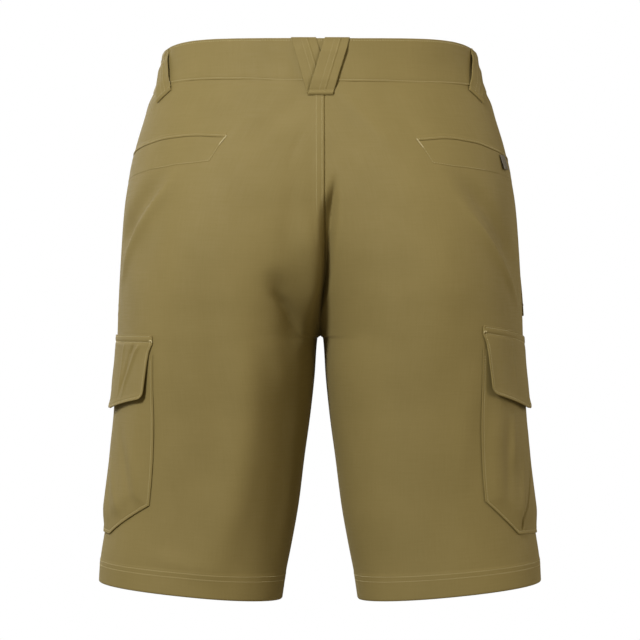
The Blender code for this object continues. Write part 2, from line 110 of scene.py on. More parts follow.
# The large ones, at the hips, the seat and down the thighs
FOLDS = (
    Fold("left", 138, -98, 32, -221, 0, 7, 3.8),
    Fold("left", 124, -100, 24, -184, 0, 13, -6.2),
    Fold("left", 140, -100, 84, -214, 0, 15, -2.2),
    Fold("left", 232, -194, 284, -272, 0, 12, -6.5),
    Fold("left", 217, -196, 159, -520, -10, 20, 6.4),
    Fold("left", 148, -130, 152, -400, 4, 16, 1.6),
    Fold("left", 176, -170, 180, -380, 0, 14, -1.6),
    Fold("right", 152, -119, 38, -240, -6, 5, 3.6),
    Fold("right", 148, -96, 42, -212, 2, 12, -6.4),
    Fold("right", 170, -150, 182, -330, 4, 22, 1.6),
    Fold("left", -215, -176, -262, -262, 0, 15, -4.5),
    Fold("left", -150, -196, -238, -252, 6, 15, -3.2),
    Fold("left", -170, -270, -182, -470, 5, 24, 2.6),
    Fold("right", -205, -168, -256, -262, 0, 15, -4.8),
    Fold("right", -140, -214, -226, -250, 8, 15, -2.8),
    Fold("right", -176, -290, -168, -480, -5, 24, 2.8),
)

# The centre back seam lies a little to the wearer's right, and comes back to the middle at the crotch. Lower
# down the cloth is drawn into a deep crease, which starts on the right of the seam and crosses it. Its runs
# are distances to the left of the seam, one for each of its levels.
BACK_SEAM_LEAN = -4.5
BACK_SEAM_LEAN_REACH = 60.0
BACK_SEAM_LEANS_BEHIND = (0.0, 60.0)
BACK_SEAM_STRAIGHTENS = (-185.0, -262.0)
CREASE_DEPTH = 14.0
CREASE_LEFT_REACH = 13.5
CREASE_RIGHT_REACH = 10.0
CREASE_STARTS_NARROW = 0.35
CREASE_BOTTOM = 1.0
CREASE_BEND = 1.4
CREASE_TOP = -104.0
CREASE_FULL = -148.0
CREASE_FADES = -212.0
CREASE_END = -252.0
CREASE_LEVELS = (-246, -211, -178, -143, -121, -113)
CREASE_RUNS = (2, -2, -3.4, -6.6, -10, -11)

# The form is worked out at every millimetre down, from a little above the band to a little below the hem
PAST_HEM = 8
PAST_BAND = 9
FORM_LEVELS = np.arange(HEM - PAST_HEM, BAND_TOP + PAST_BAND)
FORM_SHARES = np.linspace(0, 1, 401)
ARC_POINTS = 129


def soft_step(value, start, end):
    """0 at start and 1 at end, with a smooth change between."""
    share = np.clip((value - start) / (end - start), 0, 1)
    return share * share * (3 - 2 * share)


def between(start, end, share):
    return start + (end - start) * share


def hump(off, width):
    """1 in the middle, and almost 0 from two widths off it."""
    return np.exp(-((off / width) ** 2))


def column(name, levels):
    """A smooth curve through one column of the sections, with no overshoot between its rows."""
    rows = sorted(SECTIONS)
    at = np.array([row.level for row in rows], float)
    values = np.array([getattr(row, name) for row in rows], float)
    rises = np.diff(values) / np.diff(at)
    before, after = rises[:-1], rises[1:]
    turns = before * after <= 0
    inner = np.where(turns, 0, 2 * before * after / np.where(turns, 1, before + after))
    slopes = np.concatenate([rises[:1], inner, rises[-1:]])
    i = np.clip(np.searchsorted(at, levels) - 1, 0, len(rises) - 1)
    step = np.diff(at)[i]
    t = (levels - at[i]) / step
    start = values[i] + slopes[i] * step * t * (1 - t) ** 2
    return start + (values[i + 1] - values[i]) * t * t * (3 - 2 * t) + slopes[i + 1] * step * t * t * (t - 1)


def form_table(at_back):
    """The back or front of the wearer's left half, as a table of places and of outward directions, with a
    row for each level and a column for each share of the way round. Also how far round it is."""
    level = FORM_LEVELS[:, None]
    outer, inner = column("outer", level), column("inner", level)
    ridge = column("back_ridge" if at_back else "front_ridge", level)
    depth = column("back" if at_back else "front", level)
    bend, turn = BACK_RISE if at_back else FRONT_RISE
    down = np.clip((WAIST_SEAM - level) / (WAIST_SEAM - CROTCH), 0, 1)
    seam = (1 - down**bend) ** (1 / turn)
    cut = (1 - seam**FULLNESS) ** (1 / FULLNESS)
    angle = np.linspace(0, math.pi / 2, ARC_POINTS)[None]
    out_x = ridge + (outer - ridge) * np.clip(np.cos(angle), 0, 1) ** (2 / FULLNESS)
    out_y = depth * np.sin(angle) ** (2 / FULLNESS)
    reach = np.clip(np.cos(angle[:, ::-1]), 0, 1)[:, 1:]
    shaped = soft_step(level, *INSIDE_LEG_SHAPES)
    in_x = ridge * (1 - reach) + inner * between(reach**CROTCH_HOOK, reach, shaped)
    in_y = depth * np.clip(1 - (reach * cut) ** FULLNESS, 0, 1) ** (1 / FULLNESS)
    x = np.concatenate([out_x, in_x], axis=1)
    y = np.concatenate([out_y, in_y], axis=1)
    run = np.concatenate([np.zeros_like(level), np.cumsum(np.hypot(np.diff(x), np.diff(y)), axis=1)], axis=1)
    x = np.array([np.interp(FORM_SHARES * r[-1], r, row) for r, row in zip(run, x)])
    y = np.array([np.interp(FORM_SHARES * r[-1], r, row) for r, row in zip(run, y)])
    turned = y / depth if at_back else -y / depth
    above = np.clip((level - CROTCH) / (WAIST_SEAM - CROTCH), 0, 1)
    below = np.clip((CROTCH - level) / (CROTCH - HEM), 0, 1)
    tilt = (BACK_RAISED * turned - FRONT_DIPPED * turned**2) * above
    tilt = tilt - BAND_WAVE * np.cos(BAND_WAVES * math.pi * turned) * soft_step(level, WAIST_SEAM, BAND_TOP)
    leg_middle = (column("outer", np.array(HEM)) + column("inner", np.array(HEM))) / 2
    z = level + tilt + HEM_SLOPE * (x - leg_middle) * below**2
    place = np.stack([x, y if at_back else -y, z], axis=-1)
    straight = np.cross(np.gradient(place, axis=0), np.gradient(place, axis=1))
    straight /= np.linalg.norm(straight, axis=-1, keepdims=True)
    off_middle = place - np.stack([ridge + 0 * x, 0 * x, z], axis=-1)
    straight *= np.where((straight * off_middle).sum(-1) < 0, -1, 1)[..., None]
    return place, straight, run[:, -1]


BACK_FORM = form_table(True)
FRONT_FORM = form_table(False)


def girth(level, at_back=True):
    """From the side seam to the centre seam or inseam, round the back or the front."""
    return np.interp(level, FORM_LEVELS, (BACK_FORM if at_back else FRONT_FORM)[2])


def fold_height(side, around, level, folds):
    """The folds of one side, added up."""
    total = np.zeros_like(around)
    for fold in folds:
        if fold.side != side:
            continue
        run = (fold.around_end - fold.around_start, fold.level_end - fold.level_start)
        length = math.hypot(*run)
        here = (around - fold.around_start, level - fold.level_start)
        along = (here[0] * run[0] + here[1] * run[1]) / length**2
        off = (here[0] * run[1] - here[1] * run[0]) / length - fold.bow * 4 * along * (1 - along)
        ends = soft_step(np.minimum(along, 1 - along), 0, FOLD_FADES)
        total += fold.height * ends * hump(off, fold.width)
    return total


# Smaller folds: soft drags toward the seams, the pockets and the crotch, and long waves down the legs
FINE_FOLDS = (
    Fold("left", 236, -216, 292, -268, -3, 5, -3.6),
    Fold("left", 260, -132, 297, -262, 0, 12, 6.2),
    Fold("left", 226, -236, 262, -330, 0, 14, 2.0),
    Fold("left", 222, -24, 188, -86, 0, 13, -1.2),
    Fold("left", 204, -28, 150, -104, 0, 14, 0.6),
    Fold("left", 230, -60, 237, -114, 0, 4, -0.8),
    Fold("left", 242, -96, 254, -196, 0, 8, -1.0),
    Fold("left", 120, -262, 132, -420, 5, 12, 1.2),
    Fold("left", 262, -236, 230, -520, -4, 24, -4.5),
    Fold("left", 150, -350, 132, -505, 3, 13, -1.0),
    Fold("left", 90, -468, 196, -486, 6, 9, 0.8),
    Fold("right", 226, -24, 184, -98, 0, 9, 1.5),
    Fold("right", 192, -22, 148, -76, 0, 13, -1.5),
    Fold("right", 244, -176, 262, -244, 3, 12, -0.9),
    Fold("right", 214, -196, 196, -330, -8, 14, 1.4),
    Fold("right", 128, -280, 140, -430, 4, 12, 1.0),
    Fold("right", 226, -310, 214, -490, 6, 17, 1.5),
    Fold("right", 150, -380, 158, -505, 3, 13, -1.0),
    Fold("left", -60, -120, -150, -200, 6, 13, 1.6),
    Fold("left", -196, -60, -208, -150, 3, 14, -1.2),
    Fold("left", -222, -310, -214, -480, 3, 15, -1.5),
    Fold("left", -120, -300, -130, -450, 4, 13, 1.1),
    Fold("right", -66, -128, -158, -196, 7, 13, 1.5),
    Fold("right", -190, -66, -214, -146, 4, 14, -1.1),
    Fold("right", -216, -306, -224, -486, 3, 15, -1.4),
    Fold("right", -116, -320, -124, -460, 4, 13, 1.2),
)


# The uneven fullness of soft cloth: slow waves, and shorter ones that lie across them. Their full height is
# reached a little below the waist.
SLOW_WAVE_HEIGHT = 0.5
SHORT_WAVE_HEIGHT = 0.25
WAVES_SHIFT = {"left": 0.0, "right": 2.1}
WAVES_FULL = -70.0


def slow_wave(side, around, level):
    """Height of the uneven fullness, under a millimetre either way."""
    shift = WAVES_SHIFT[side]
    across = np.sin(around / 31 + level / 74 + shift)
    wave = SLOW_WAVE_HEIGHT * across * np.sin(level / 47 - around / 88 + 2 * shift)
    wave += SHORT_WAVE_HEIGHT * np.sin(around / 17 - level / 120 + 3 * shift)
    return wave * soft_step(level, WAIST_SEAM, WAVES_FULL)


def centre_crease(run, level):
    """How far the cloth is drawn in near the centre back seam, by the distance to the left of the seam. The
    crease has a wide left wall and a steep right one."""
    drawn = soft_step(level, CREASE_TOP, CREASE_FULL) * soft_step(level, CREASE_END, CREASE_FADES)
    off = run - np.interp(level, CREASE_LEVELS, CREASE_RUNS)
    reach = np.where(off > 0, CREASE_LEFT_REACH, CREASE_RIGHT_REACH) * between(CREASE_STARTS_NARROW, 1, drawn)
    near = np.clip(1 - np.hypot(off, CREASE_BOTTOM) / reach, 0, 1)
    return CREASE_DEPTH * drawn * near**CREASE_BEND


AT_EDGE = 0.01


def cloth(side, around, level, lift=0.0):
    """Places in metres on one side's cloth, moved outward by lift, and the outward directions there. The
    edges at the centre seams stay in the middle, so that no light comes through."""
    around, level, lift = np.broadcast_arrays(*[np.asarray(v, float) for v in (around, level, lift)])
    row = np.clip(level - FORM_LEVELS[0], 0, len(FORM_LEVELS) - 1.001)
    i = row.astype(int)
    down = (row - i)[..., None]
    place = np.zeros(around.shape + (3,))
    out = np.zeros_like(place)
    for table, at_back in ((BACK_FORM, True), (FRONT_FORM, False)):
        here = (around >= 0) == at_back
        share = np.clip(np.abs(around) / girth(level, at_back), 0, 1) * (len(FORM_SHARES) - 1)
        j = np.minimum(share.astype(int), len(FORM_SHARES) - 2)
        across = (share - j)[..., None]
        for values, found in ((table[0], place), (table[1], out)):
            upper = between(values[i, j], values[i, j + 1], across)
            lower = between(values[i + 1, j], values[i + 1, j + 1], across)
            found[here] = between(upper, lower, down)[here]
    out /= np.linalg.norm(out, axis=-1, keepdims=True)
    height = fold_height(side, around, level, FOLDS + FINE_FOLDS) + slow_wave(side, around, level)
    place = place + out * (lift + height)[..., None]
    to_seam = np.maximum(girth(level) - around, 0)
    crease = centre_crease(to_seam if side == "left" else -to_seam, level)
    place[..., 1] -= np.where(around >= 0, crease, 0)
    place[..., 0] -= MEETING / 2
    short_of_centre = np.where(around >= 0, girth(level), girth(level, False)) - np.abs(around)
    at_centre_seam = (short_of_centre < AT_EDGE) & (level > CROTCH) & (level < WAIST_SEAM)
    place[..., 0] = np.where(at_centre_seam, -MEETING / 2, place[..., 0])
    if side == "right":
        place[..., 0] *= -1
        out[..., 0] *= -1
    lean = BACK_SEAM_LEAN * hump(place[..., 0], BACK_SEAM_LEAN_REACH)
    lean = lean * soft_step(place[..., 1], *BACK_SEAM_LEANS_BEHIND)
    lean = lean * soft_step(place[..., 2], BAND_TOP, WAIST_SEAM)
    place[..., 0] += lean * (1 - soft_step(place[..., 2], *BACK_SEAM_STRAIGHTENS))
    return place * MM, out


def wall(name, outside, inside, out, around, level):
    """A closed wall of cloth between two grids of places. Its UV map holds the cut cloth in metres."""
    rows, columns = outside.shape[:2]
    number = np.arange(rows * columns).reshape(rows, columns)
    back = number + rows * columns

    def corners(a, b, c, d):
        return np.stack([a, b, c, d], axis=-1).reshape(-1, 4)

    faces = np.concatenate([
        corners(number[:-1, :-1], number[1:, :-1], number[1:, 1:], number[:-1, 1:]),
        corners(back[:-1, :-1], back[:-1, 1:], back[1:, 1:], back[1:, :-1]),
        corners(number[1:, 0], number[:-1, 0], back[:-1, 0], back[1:, 0]),
        corners(number[:-1, -1], number[1:, -1], back[1:, -1], back[:-1, -1]),
        corners(number[0, :-1], number[0, 1:], back[0, 1:], back[0, :-1]),
        corners(number[-1, 1:], number[-1, :-1], back[-1, :-1], back[-1, 1:]),
    ])
    turned = np.cross(outside[1:, :-1] - outside[:-1, :-1], outside[:-1, 1:] - outside[:-1, :-1])
    if (turned * out[:-1, :-1]).sum() < 0:
        faces = faces[:, ::-1]
    points = np.concatenate([outside.reshape(-1, 3), inside.reshape(-1, 3)])
    cut = np.stack(np.broadcast_arrays(around, level), axis=-1).reshape(-1, 2) * MM
    return cloth_object(name, points, faces, np.concatenate([cut, cut]))


def cloth_object(name, points, faces, cut):
    """A smooth mesh with a place on the cut cloth for each of its points."""
    mesh = bpy.data.meshes.new(name)
    mesh.from_pydata(points.tolist(), [], faces.tolist())
    mesh.uv_layers.new(name="cut").data.foreach_set("uv", cut[faces.ravel()].ravel())
    mesh.shade_smooth()
    piece = bpy.data.objects.new(name, mesh)
    bpy.context.scene.collection.objects.link(piece)
    return piece


# Each piece thins to a rounded edge: how far in the rounding reaches, by the thickness, and what is left
EDGE_ROUNDS = 0.7
EDGE_HALF_THICK = 0.08


def nose(from_edge, thick):
    """Half the thickness of cloth near a rounded edge."""
    reach = np.clip(from_edge / (EDGE_ROUNDS * thick), 0, 1)
    return np.maximum(thick / 2 * np.sqrt(1 - (1 - reach) ** 2), EDGE_HALF_THICK)


def cloth_piece(node, form, around, level, inner, outer):
    """One piece of the khaki cloth. Form gives places and outward directions from a distance round, a level
    and a lift, and inner and outer are the lifts of its two faces."""
    outside, out = form(around, level, outer)
    inside, _ = form(around, level, inner)
    piece = wall(node + "_cloth", outside, inside, out, around, level)
    piece.data.materials.append(KHAKI_CLOTH)
    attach(piece, "root")
    return piece


# Distances from an edge at which the mesh has a line, close together where a seam rolls over
EDGE_LINES = np.array([0, 0.15, 0.4, 0.8, 1.3, 1.9, 2.5, 3.1, 4.2, 5.6, 6.8, 7.6, 8.4, 9.6, 11.5, 14])


def spread(length, coarse, fine_end=True):
    """Distances from 0 to length, as in EDGE_LINES at the ends and coarse between them."""
    start = EDGE_LINES[EDGE_LINES < length / 2.2]
    end = length - (start if fine_end else start[:1])[::-1]
    count = max(int(round((end[0] - start[-1]) / coarse)), 1)
    middle = np.linspace(start[-1], end[0], count + 1)[1:-1]
    return np.concatenate([start, middle, end])


# Relief beside the seams. The cloth is rolled down at its edge, and swells a little beside it. On the
# stitched side it lies over the folded allowances, with a groove under each row of stitches.
ROLL_DEPTH = 0.9
ROLL_REACH = 0.5
SWELL_HEIGHT = 0.12
SWELL_OFF_EDGE = 2.0
SWELL_WIDTH = 1.5
ALLOWANCE_RAISED = 0.5
ALLOWANCE_RISES = (0.0, 1.2)
ALLOWANCE_ENDS = (11.0, 8.4)
STITCH_ROWS = (2.7, 8.0)
GROOVE_DEPTH = 0.12
GROOVE_HALF_WIDTH = 0.7


def grooves(off_edge, rows):
    """How deep the rows of stitches draw the cloth in, from the distance off the edge that they follow."""
    return GROOVE_DEPTH * sum(hump(off_edge - row, GROOVE_HALF_WIDTH) for row in rows)


def seam_relief(from_edge, stitched):
    """Height of the cloth beside a seam, from the distance off it."""
    height = -ROLL_DEPTH * hump(from_edge, ROLL_REACH)
    if not stitched:
        return height + SWELL_HEIGHT * hump(from_edge - SWELL_OFF_EDGE, SWELL_WIDTH)
    raised = soft_step(from_edge, *ALLOWANCE_RISES) * soft_step(from_edge, *ALLOWANCE_ENDS)
    return height + ALLOWANCE_RAISED * raised - grooves(from_edge, STITCH_ROWS)


# The hem is turned up twice and held by two rows of stitches, which pucker it a little between them
HEM_ROWS = (18.5, 23.2)
HEM_TURNED_UP = 25.5
HEM_THICKER = 1.1
HEM_STANDS = 0.35
HEM_GROOVES = 0.6
HEM_PUCKER = 0.09
HEM_PUCKER_MIDDLE = 21.0
HEM_PUCKER_REACH = 6.0


def panel_relief(side, around, level):
    """Height of the finished cloth over the plain form: seams, rows of stitches and the turned-up hem."""
    at_back = around >= 0
    to_middle = np.where(at_back, girth(level) - around, girth(level, False) + around)
    centre_stitched = (side == "left") & (level > CROTCH)
    middle = np.where(centre_stitched, seam_relief(to_middle, True), seam_relief(to_middle, False))
    height = middle + seam_relief(np.abs(around), False)
    above_hem = level - HEM
    height = height + HEM_STANDS * soft_step(above_hem, HEM_TURNED_UP + 0.6, HEM_TURNED_UP - 2)
    height = height - HEM_GROOVES * grooves(above_hem, HEM_ROWS)
    pucker = np.sin(around / 2.3) + 0.7 * np.sin(around / 3.9 + 1)
    return height + HEM_PUCKER * pucker * hump(above_hem - HEM_PUCKER_MIDDLE, HEM_PUCKER_REACH)


# Spacing of the mesh, how far the top edge is tucked under the band, and the mesh's lines above the hem
PANEL_COARSE = 3.2
LEG_ROWS = 72
ROWS_CLOSE_UP = 1.6
TUCKED_UNDER = 3.2
HEM_LINES = np.array([0, 0.12, 0.4, 0.9, 1.7, 2.8, 4.5, 7, 10, 13, 15.5, 17, 17.8, 18.5, 19.2, 20, 21.2, 22.4,
                      23.2, 24, 24.8, 25.5, 26.4, 28, 30])


def panel_grid(at_back):
    """Levels and distances round a panel. Its rows are even at the side seam, and close up at the other
    edge where the cloth turns under at the crotch."""
    torso = spread(WAIST_SEAM - CROTCH, PANEL_COARSE, fine_end=False) / (WAIST_SEAM - CROTCH)
    leg_length = CROTCH - HEM
    leg = np.concatenate([
        np.linspace(0, leg_length - HEM_LINES[-1], LEG_ROWS)[1:-1], leg_length - HEM_LINES[::-1]
    ]) / leg_length
    usual_girth = 300
    share = spread(usual_girth, PANEL_COARSE) / usual_girth
    tight = share[None] ** 2
    torso_down = between(torso[:, None], np.sin(math.pi / 2 * torso)[:, None], tight)
    leg_down = between(leg[:, None], leg[:, None] ** ROWS_CLOSE_UP, tight)
    level = np.concatenate([between(WAIST_SEAM, CROTCH, torso_down), between(CROTCH, HEM, leg_down)])
    level[0] = WAIST_SEAM + TUCKED_UNDER
    around = girth(level, at_back) * share[None]
    return (around if at_back else -around), level


def make_panel(side, at_back):
    around, level = panel_grid(at_back)
    relief = panel_relief(side, around, level)
    above_hem = level - HEM
    thick = CLOTH + HEM_THICKER * soft_step(above_hem, HEM_TURNED_UP, HEM_TURNED_UP - 1)
    half = nose(above_hem, thick)
    middle = relief - thick / 2
    node = f"{'back' if at_back else 'front'}_panel_{side}"
    piece = cloth_piece(node, partial(cloth, side), around, level, middle - half, middle + half)
    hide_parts(node)


def srgb(code):
    """A hex colour as the linear values that a shader takes."""
    values = [int(code[i:i + 2], 16) / 255 for i in (1, 3, 5)]
    return [v / 12.92 if v <= 0.04045 else ((v + 0.055) / 1.055) ** 2.4 for v in values] + [1.0]


def add(tree, kind, inputs=None, **settings):
    """Adds a node. Inputs maps a socket to a value, or to another node's output that is linked to it."""
    node = tree.nodes.new(kind)
    for name, value in settings.items():
        setattr(node, name, value)
    for name, value in (inputs or {}).items():
        if isinstance(value, bpy.types.NodeSocket):
            tree.links.new(value, node.inputs[name])
        else:
            node.inputs[name].default_value = value
    return node


def new_material(name):
    """A material, its node tree and its main shader."""
    made = bpy.data.materials.new(name)
    made.use_nodes = True
    return made, made.node_tree, made.node_tree.nodes["Principled BSDF"]


# Polyester and elastane plain weave, dyed olive khaki: a dry, even surface that takes a soft light, with a
# faint sheen where it turns away. Threads lie about 0.4 mm apart, and are drawn at 0.7 mm so that they show.
KHAKI = "#8f7f4e"
KHAKI_DEEP = "#857646"
KHAKI_SHEEN = "#cdbf92"
THREAD_SPACING_MM = 0.7
SLUB_LENGTH_MM = 14.0
MOTTLE_SIZE_MM = 45.0
THREAD_RELIEF_MM = 0.1
SLUB_RANGE = {"From Min": 0.7, "From Max": 1.3}


def woven_cloth():
    made, tree, shader = new_material("olive_khaki_stretch_weave")
    cut = add(tree, "ShaderNodeUVMap", uv_map="cut")
    half_turns = math.pi / (THREAD_SPACING_MM * MM)
    threads = add(tree, "ShaderNodeVectorMath", {0: cut.outputs["UV"], "Scale": half_turns},
                  operation="SCALE")
    split = add(tree, "ShaderNodeSeparateXYZ", {0: threads.outputs[0]})
    weft = add(tree, "ShaderNodeMath", {0: split.outputs["X"]}, operation="SINE")
    warp = add(tree, "ShaderNodeMath", {0: split.outputs["Y"]}, operation="SINE")
    weave = add(tree, "ShaderNodeMath", {0: weft.outputs[0], 1: warp.outputs[0]}, operation="MULTIPLY")
    slubs = []
    for stretch in ((1, THREAD_SPACING_MM / SLUB_LENGTH_MM, 1), (THREAD_SPACING_MM / SLUB_LENGTH_MM, 1, 1)):
        run = add(tree, "ShaderNodeMapping", {"Vector": cut.outputs["UV"], "Scale": stretch})
        noise = add(tree, "ShaderNodeTexNoise",
                    {"Vector": run.outputs[0], "Scale": 1 / (2 * THREAD_SPACING_MM * MM), "Detail": 2.0})
        slubs.append(noise.outputs[0])
    slub = add(tree, "ShaderNodeMath", {0: slubs[0], 1: slubs[1]}, operation="ADD")
    place = add(tree, "ShaderNodeTexCoord")
    mottle = add(tree, "ShaderNodeTexNoise",
                 {"Vector": place.outputs["Object"], "Scale": 1 / (MOTTLE_SIZE_MM * MM), "Detail": 3.0})
    shade = add(tree, "ShaderNodeMapRange",
                {"Value": mottle.outputs[0], "From Min": 0.3, "From Max": 0.7, "To Min": 0.2, "To Max": 0.62})
    streak = add(tree, "ShaderNodeMapRange",
                 {"Value": slub.outputs[0], **SLUB_RANGE, "To Min": -0.12, "To Max": 0.12})
    mixed = add(tree, "ShaderNodeMath", {0: shade.outputs[0], 1: streak.outputs[0]},
                operation="ADD", use_clamp=True)
    tone = add(tree, "ShaderNodeMix", {"Factor": mixed.outputs[0]}, data_type="RGBA")
    tone.inputs["A"].default_value = srgb(KHAKI)
    tone.inputs["B"].default_value = srgb(KHAKI_DEEP)
    tree.links.new(tone.outputs["Result"], shader.inputs["Base Color"])
    rough = add(tree, "ShaderNodeMapRange",
                {"Value": slub.outputs[0], **SLUB_RANGE, "To Min": 0.66, "To Max": 0.8})
    tree.links.new(rough.outputs[0], shader.inputs["Roughness"])
    relief = add(tree, "ShaderNodeMath", {0: slub.outputs[0], 1: weave.outputs[0]}, operation="ADD")
    bump = add(tree, "ShaderNodeBump",
               {"Height": relief.outputs[0], "Strength": 0.12, "Distance": THREAD_RELIEF_MM * MM})
    tree.links.new(bump.outputs[0], shader.inputs["Normal"])
    shader.inputs["Specular IOR Level"].default_value = 0.32
    shader.inputs["Sheen Weight"].default_value = 0.12
    shader.inputs["Sheen Roughness"].default_value = 0.45
    shader.inputs["Sheen Tint"].default_value = srgb(KHAKI_SHEEN)
    return made


KHAKI_CLOTH = woven_cloth()
SIDES = {"left": 1, "right": -1}
for each_side in SIDES:
    for at_the_back in (True, False):
        make_panel(each_side, at_the_back)


# ---------------------------------------------------------------------------------------------------------
# Topstitching: tonal polyester thread, sewn through the cloth by a lockstitch machine. Each stitch that
# shows is a short bar with both ends drawn down into the cloth.
# ---------------------------------------------------------------------------------------------------------
STITCH_PITCH = 2.6
STITCH_LENGTH = 1.25
STITCH_WIDTH = 0.7
STITCH_HEIGHT = 0.55
STITCH_SITS = 0.05
STITCH_UNEVEN_LENGTH = 0.05
STITCH_UNEVEN_ASIDE = 0.04

# One stitch, in shares of half its length and half its thickness: rings along it with their sizes, how low
# its two tips are drawn, and how far its smaller rings sink
STITCH_SIDES = 6
STITCH_RINGS = ((-0.72, 0.75), (0.0, 1.0), (0.72, 0.75))
STITCH_TIP = -0.4
STITCH_SINKS = 0.2


def stitch_shape():
    """One stitch along X: rings of points and two tips, and its faces."""
    points = [(-1, 0, STITCH_TIP)]
    for along, size in STITCH_RINGS:
        for i in range(STITCH_SIDES):
            turn = 2 * math.pi * i / STITCH_SIDES
            points.append((along, size * math.cos(turn), size * math.sin(turn) + STITCH_SINKS * (size - 1)))
    points.append((1, 0, STITCH_TIP))
    faces = []
    last = len(points) - 1
    for i in range(STITCH_SIDES):
        j = (i + 1) % STITCH_SIDES
        faces.append((0, 1 + j, 1 + i))
        for ring in range(len(STITCH_RINGS) - 1):
            first = 1 + ring * STITCH_SIDES
            faces.append((first + i, first + j, first + STITCH_SIDES + j))
            faces.append((first + i, first + STITCH_SIDES + j, first + STITCH_SIDES + i))
        faces.append((last - STITCH_SIDES + i, last - STITCH_SIDES + j, last))
    return np.array(points, float), np.array(faces)


STITCH_POINTS, STITCH_FACES = stitch_shape()
sewing = np.random.default_rng(11)


def distances_along(places):
    steps = np.linalg.norm(np.diff(places, axis=0), axis=1)
    return np.concatenate([[0], np.cumsum(steps)])


def stitches(places, outs, pitch=STITCH_PITCH, length=STITCH_LENGTH, width=STITCH_WIDTH):
    """A row of stitches along a line of places in metres, as points of all of them."""
    run = distances_along(places)
    count = max(int(run[-1] / (pitch * MM)), 1)
    at = (np.arange(count) + 0.5) * run[-1] / count

    def along(values, where):
        return np.stack([np.interp(where, run, values[:, k]) for k in range(3)], axis=1)

    middle = along(places, at)
    forward = along(places, at + 0.4 * length * MM) - along(places, at - 0.4 * length * MM)
    forward /= np.linalg.norm(forward, axis=1, keepdims=True)
    up = along(outs, at)
    up -= forward * (up * forward).sum(1, keepdims=True)
    up /= np.linalg.norm(up, axis=1, keepdims=True)
    aside = np.cross(up, forward)
    half = length / 2 * MM * (1 + STITCH_UNEVEN_LENGTH * sewing.standard_normal(count))
    middle = middle + aside * (STITCH_UNEVEN_ASIDE * MM * sewing.standard_normal(count))[:, None]
    shape = STITCH_POINTS[None]
    return (
        middle[:, None]
        + forward[:, None] * shape[..., :1] * half[:, None, None]
        + aside[:, None] * shape[..., 1:2] * (width / 2 * MM)
        + up[:, None] * shape[..., 2:3] * (STITCH_HEIGHT / 2 * MM)
    )


TACK_PITCH = 0.5
TACK_STITCH_WIDTH = 0.55


def cross_stitches(places, outs, length, pitch=TACK_PITCH):
    """A bartack: short stitches side by side along a line, each lying across it."""
    run = distances_along(places)
    rows = []
    for at in np.arange(pitch / 2, run[-1] / MM, pitch) * MM:
        middle = np.array([np.interp(at, run, places[:, k]) for k in range(3)])
        up = np.array([np.interp(at, run, outs[:, k]) for k in range(3)])
        across = np.cross(up, places[-1] - places[0])
        across *= length / 2 * MM / np.linalg.norm(across)
        ends = np.stack([middle - across, middle + across])
        rows.append(stitches(ends, np.stack([up, up]), pitch=length, length=length, width=TACK_STITCH_WIDTH))
    return np.concatenate(rows)


def sewn(name, rows):
    """One piece of the stitches of several rows."""
    points = np.concatenate(rows)
    count, each = points.shape[:2]
    faces = (STITCH_FACES[None] + (np.arange(count) * each)[:, None, None]).reshape(-1, 3)
    mesh = bpy.data.meshes.new(name)
    mesh.from_pydata(points.reshape(-1, 3).tolist(), [], faces.tolist())
    mesh.shade_smooth()
    mesh.materials.append(THREAD)
    piece = bpy.data.objects.new(name, mesh)
    bpy.context.scene.collection.objects.link(piece)
    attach(piece, "root")
    return piece


# Spun polyester thread, a shade lighter than the cloth and slightly brighter where its plies catch the light
THREAD_KHAKI = "#d2c598"
THREAD_SHADED = "#bcad7e"
PLY_MM = 0.5
PLY_RELIEF_MM = 0.1


def thread_material():
    made, tree, shader = new_material("khaki_polyester_thread")
    place = add(tree, "ShaderNodeTexCoord")
    plies = add(tree, "ShaderNodeTexNoise", {"Vector": place.outputs["Object"], "Scale": 1 / (PLY_MM * MM)})
    tone = add(tree, "ShaderNodeMix", {"Factor": plies.outputs[0]}, data_type="RGBA")
    tone.inputs["A"].default_value = srgb(THREAD_KHAKI)
    tone.inputs["B"].default_value = srgb(THREAD_SHADED)
    tree.links.new(tone.outputs["Result"], shader.inputs["Base Color"])
    bump = add(tree, "ShaderNodeBump",
               {"Height": plies.outputs[0], "Strength": 0.4, "Distance": PLY_RELIEF_MM * MM})
    tree.links.new(bump.outputs[0], shader.inputs["Normal"])
    shader.inputs["Roughness"].default_value = 0.55
    return made


THREAD = thread_material()


def row_on_panel(side, around, level, lift=STITCH_SITS):
    """Stitches on a leg panel, from arrays of distances round and levels."""
    around, level = np.broadcast_arrays(np.asarray(around, float), np.asarray(level, float))
    places, outs = cloth(side, around, level, lift + panel_relief(side, around, level))
    return stitches(places, outs)


# Two rows hold the left side's allowances at the centre seams. At the back they sink into the crease, and at
# the front they start below the fly.
SEAM_ROWS_START = -24.0
SEAM_ROWS_START_FRONT = -152.0
SEAM_ROWS_END = -236.0
SEAM_ROWS_SINK = (-126.0, -150.0)
SUNK_DEPTH = 0.3

seam_levels = np.linspace(SEAM_ROWS_START, SEAM_ROWS_END, 140)
front_levels = np.linspace(SEAM_ROWS_START_FRONT, SEAM_ROWS_END, 60)
sunk = STITCH_SITS - SUNK_DEPTH * soft_step(seam_levels, *SEAM_ROWS_SINK)
seam_rows = []
for row_off in STITCH_ROWS:
    seam_rows.append(row_on_panel("left", girth(seam_levels) - row_off, seam_levels, sunk))
    seam_rows.append(row_on_panel("left", -girth(front_levels, False) + row_off, front_levels))
sewn("seam_topstitching", seam_rows)

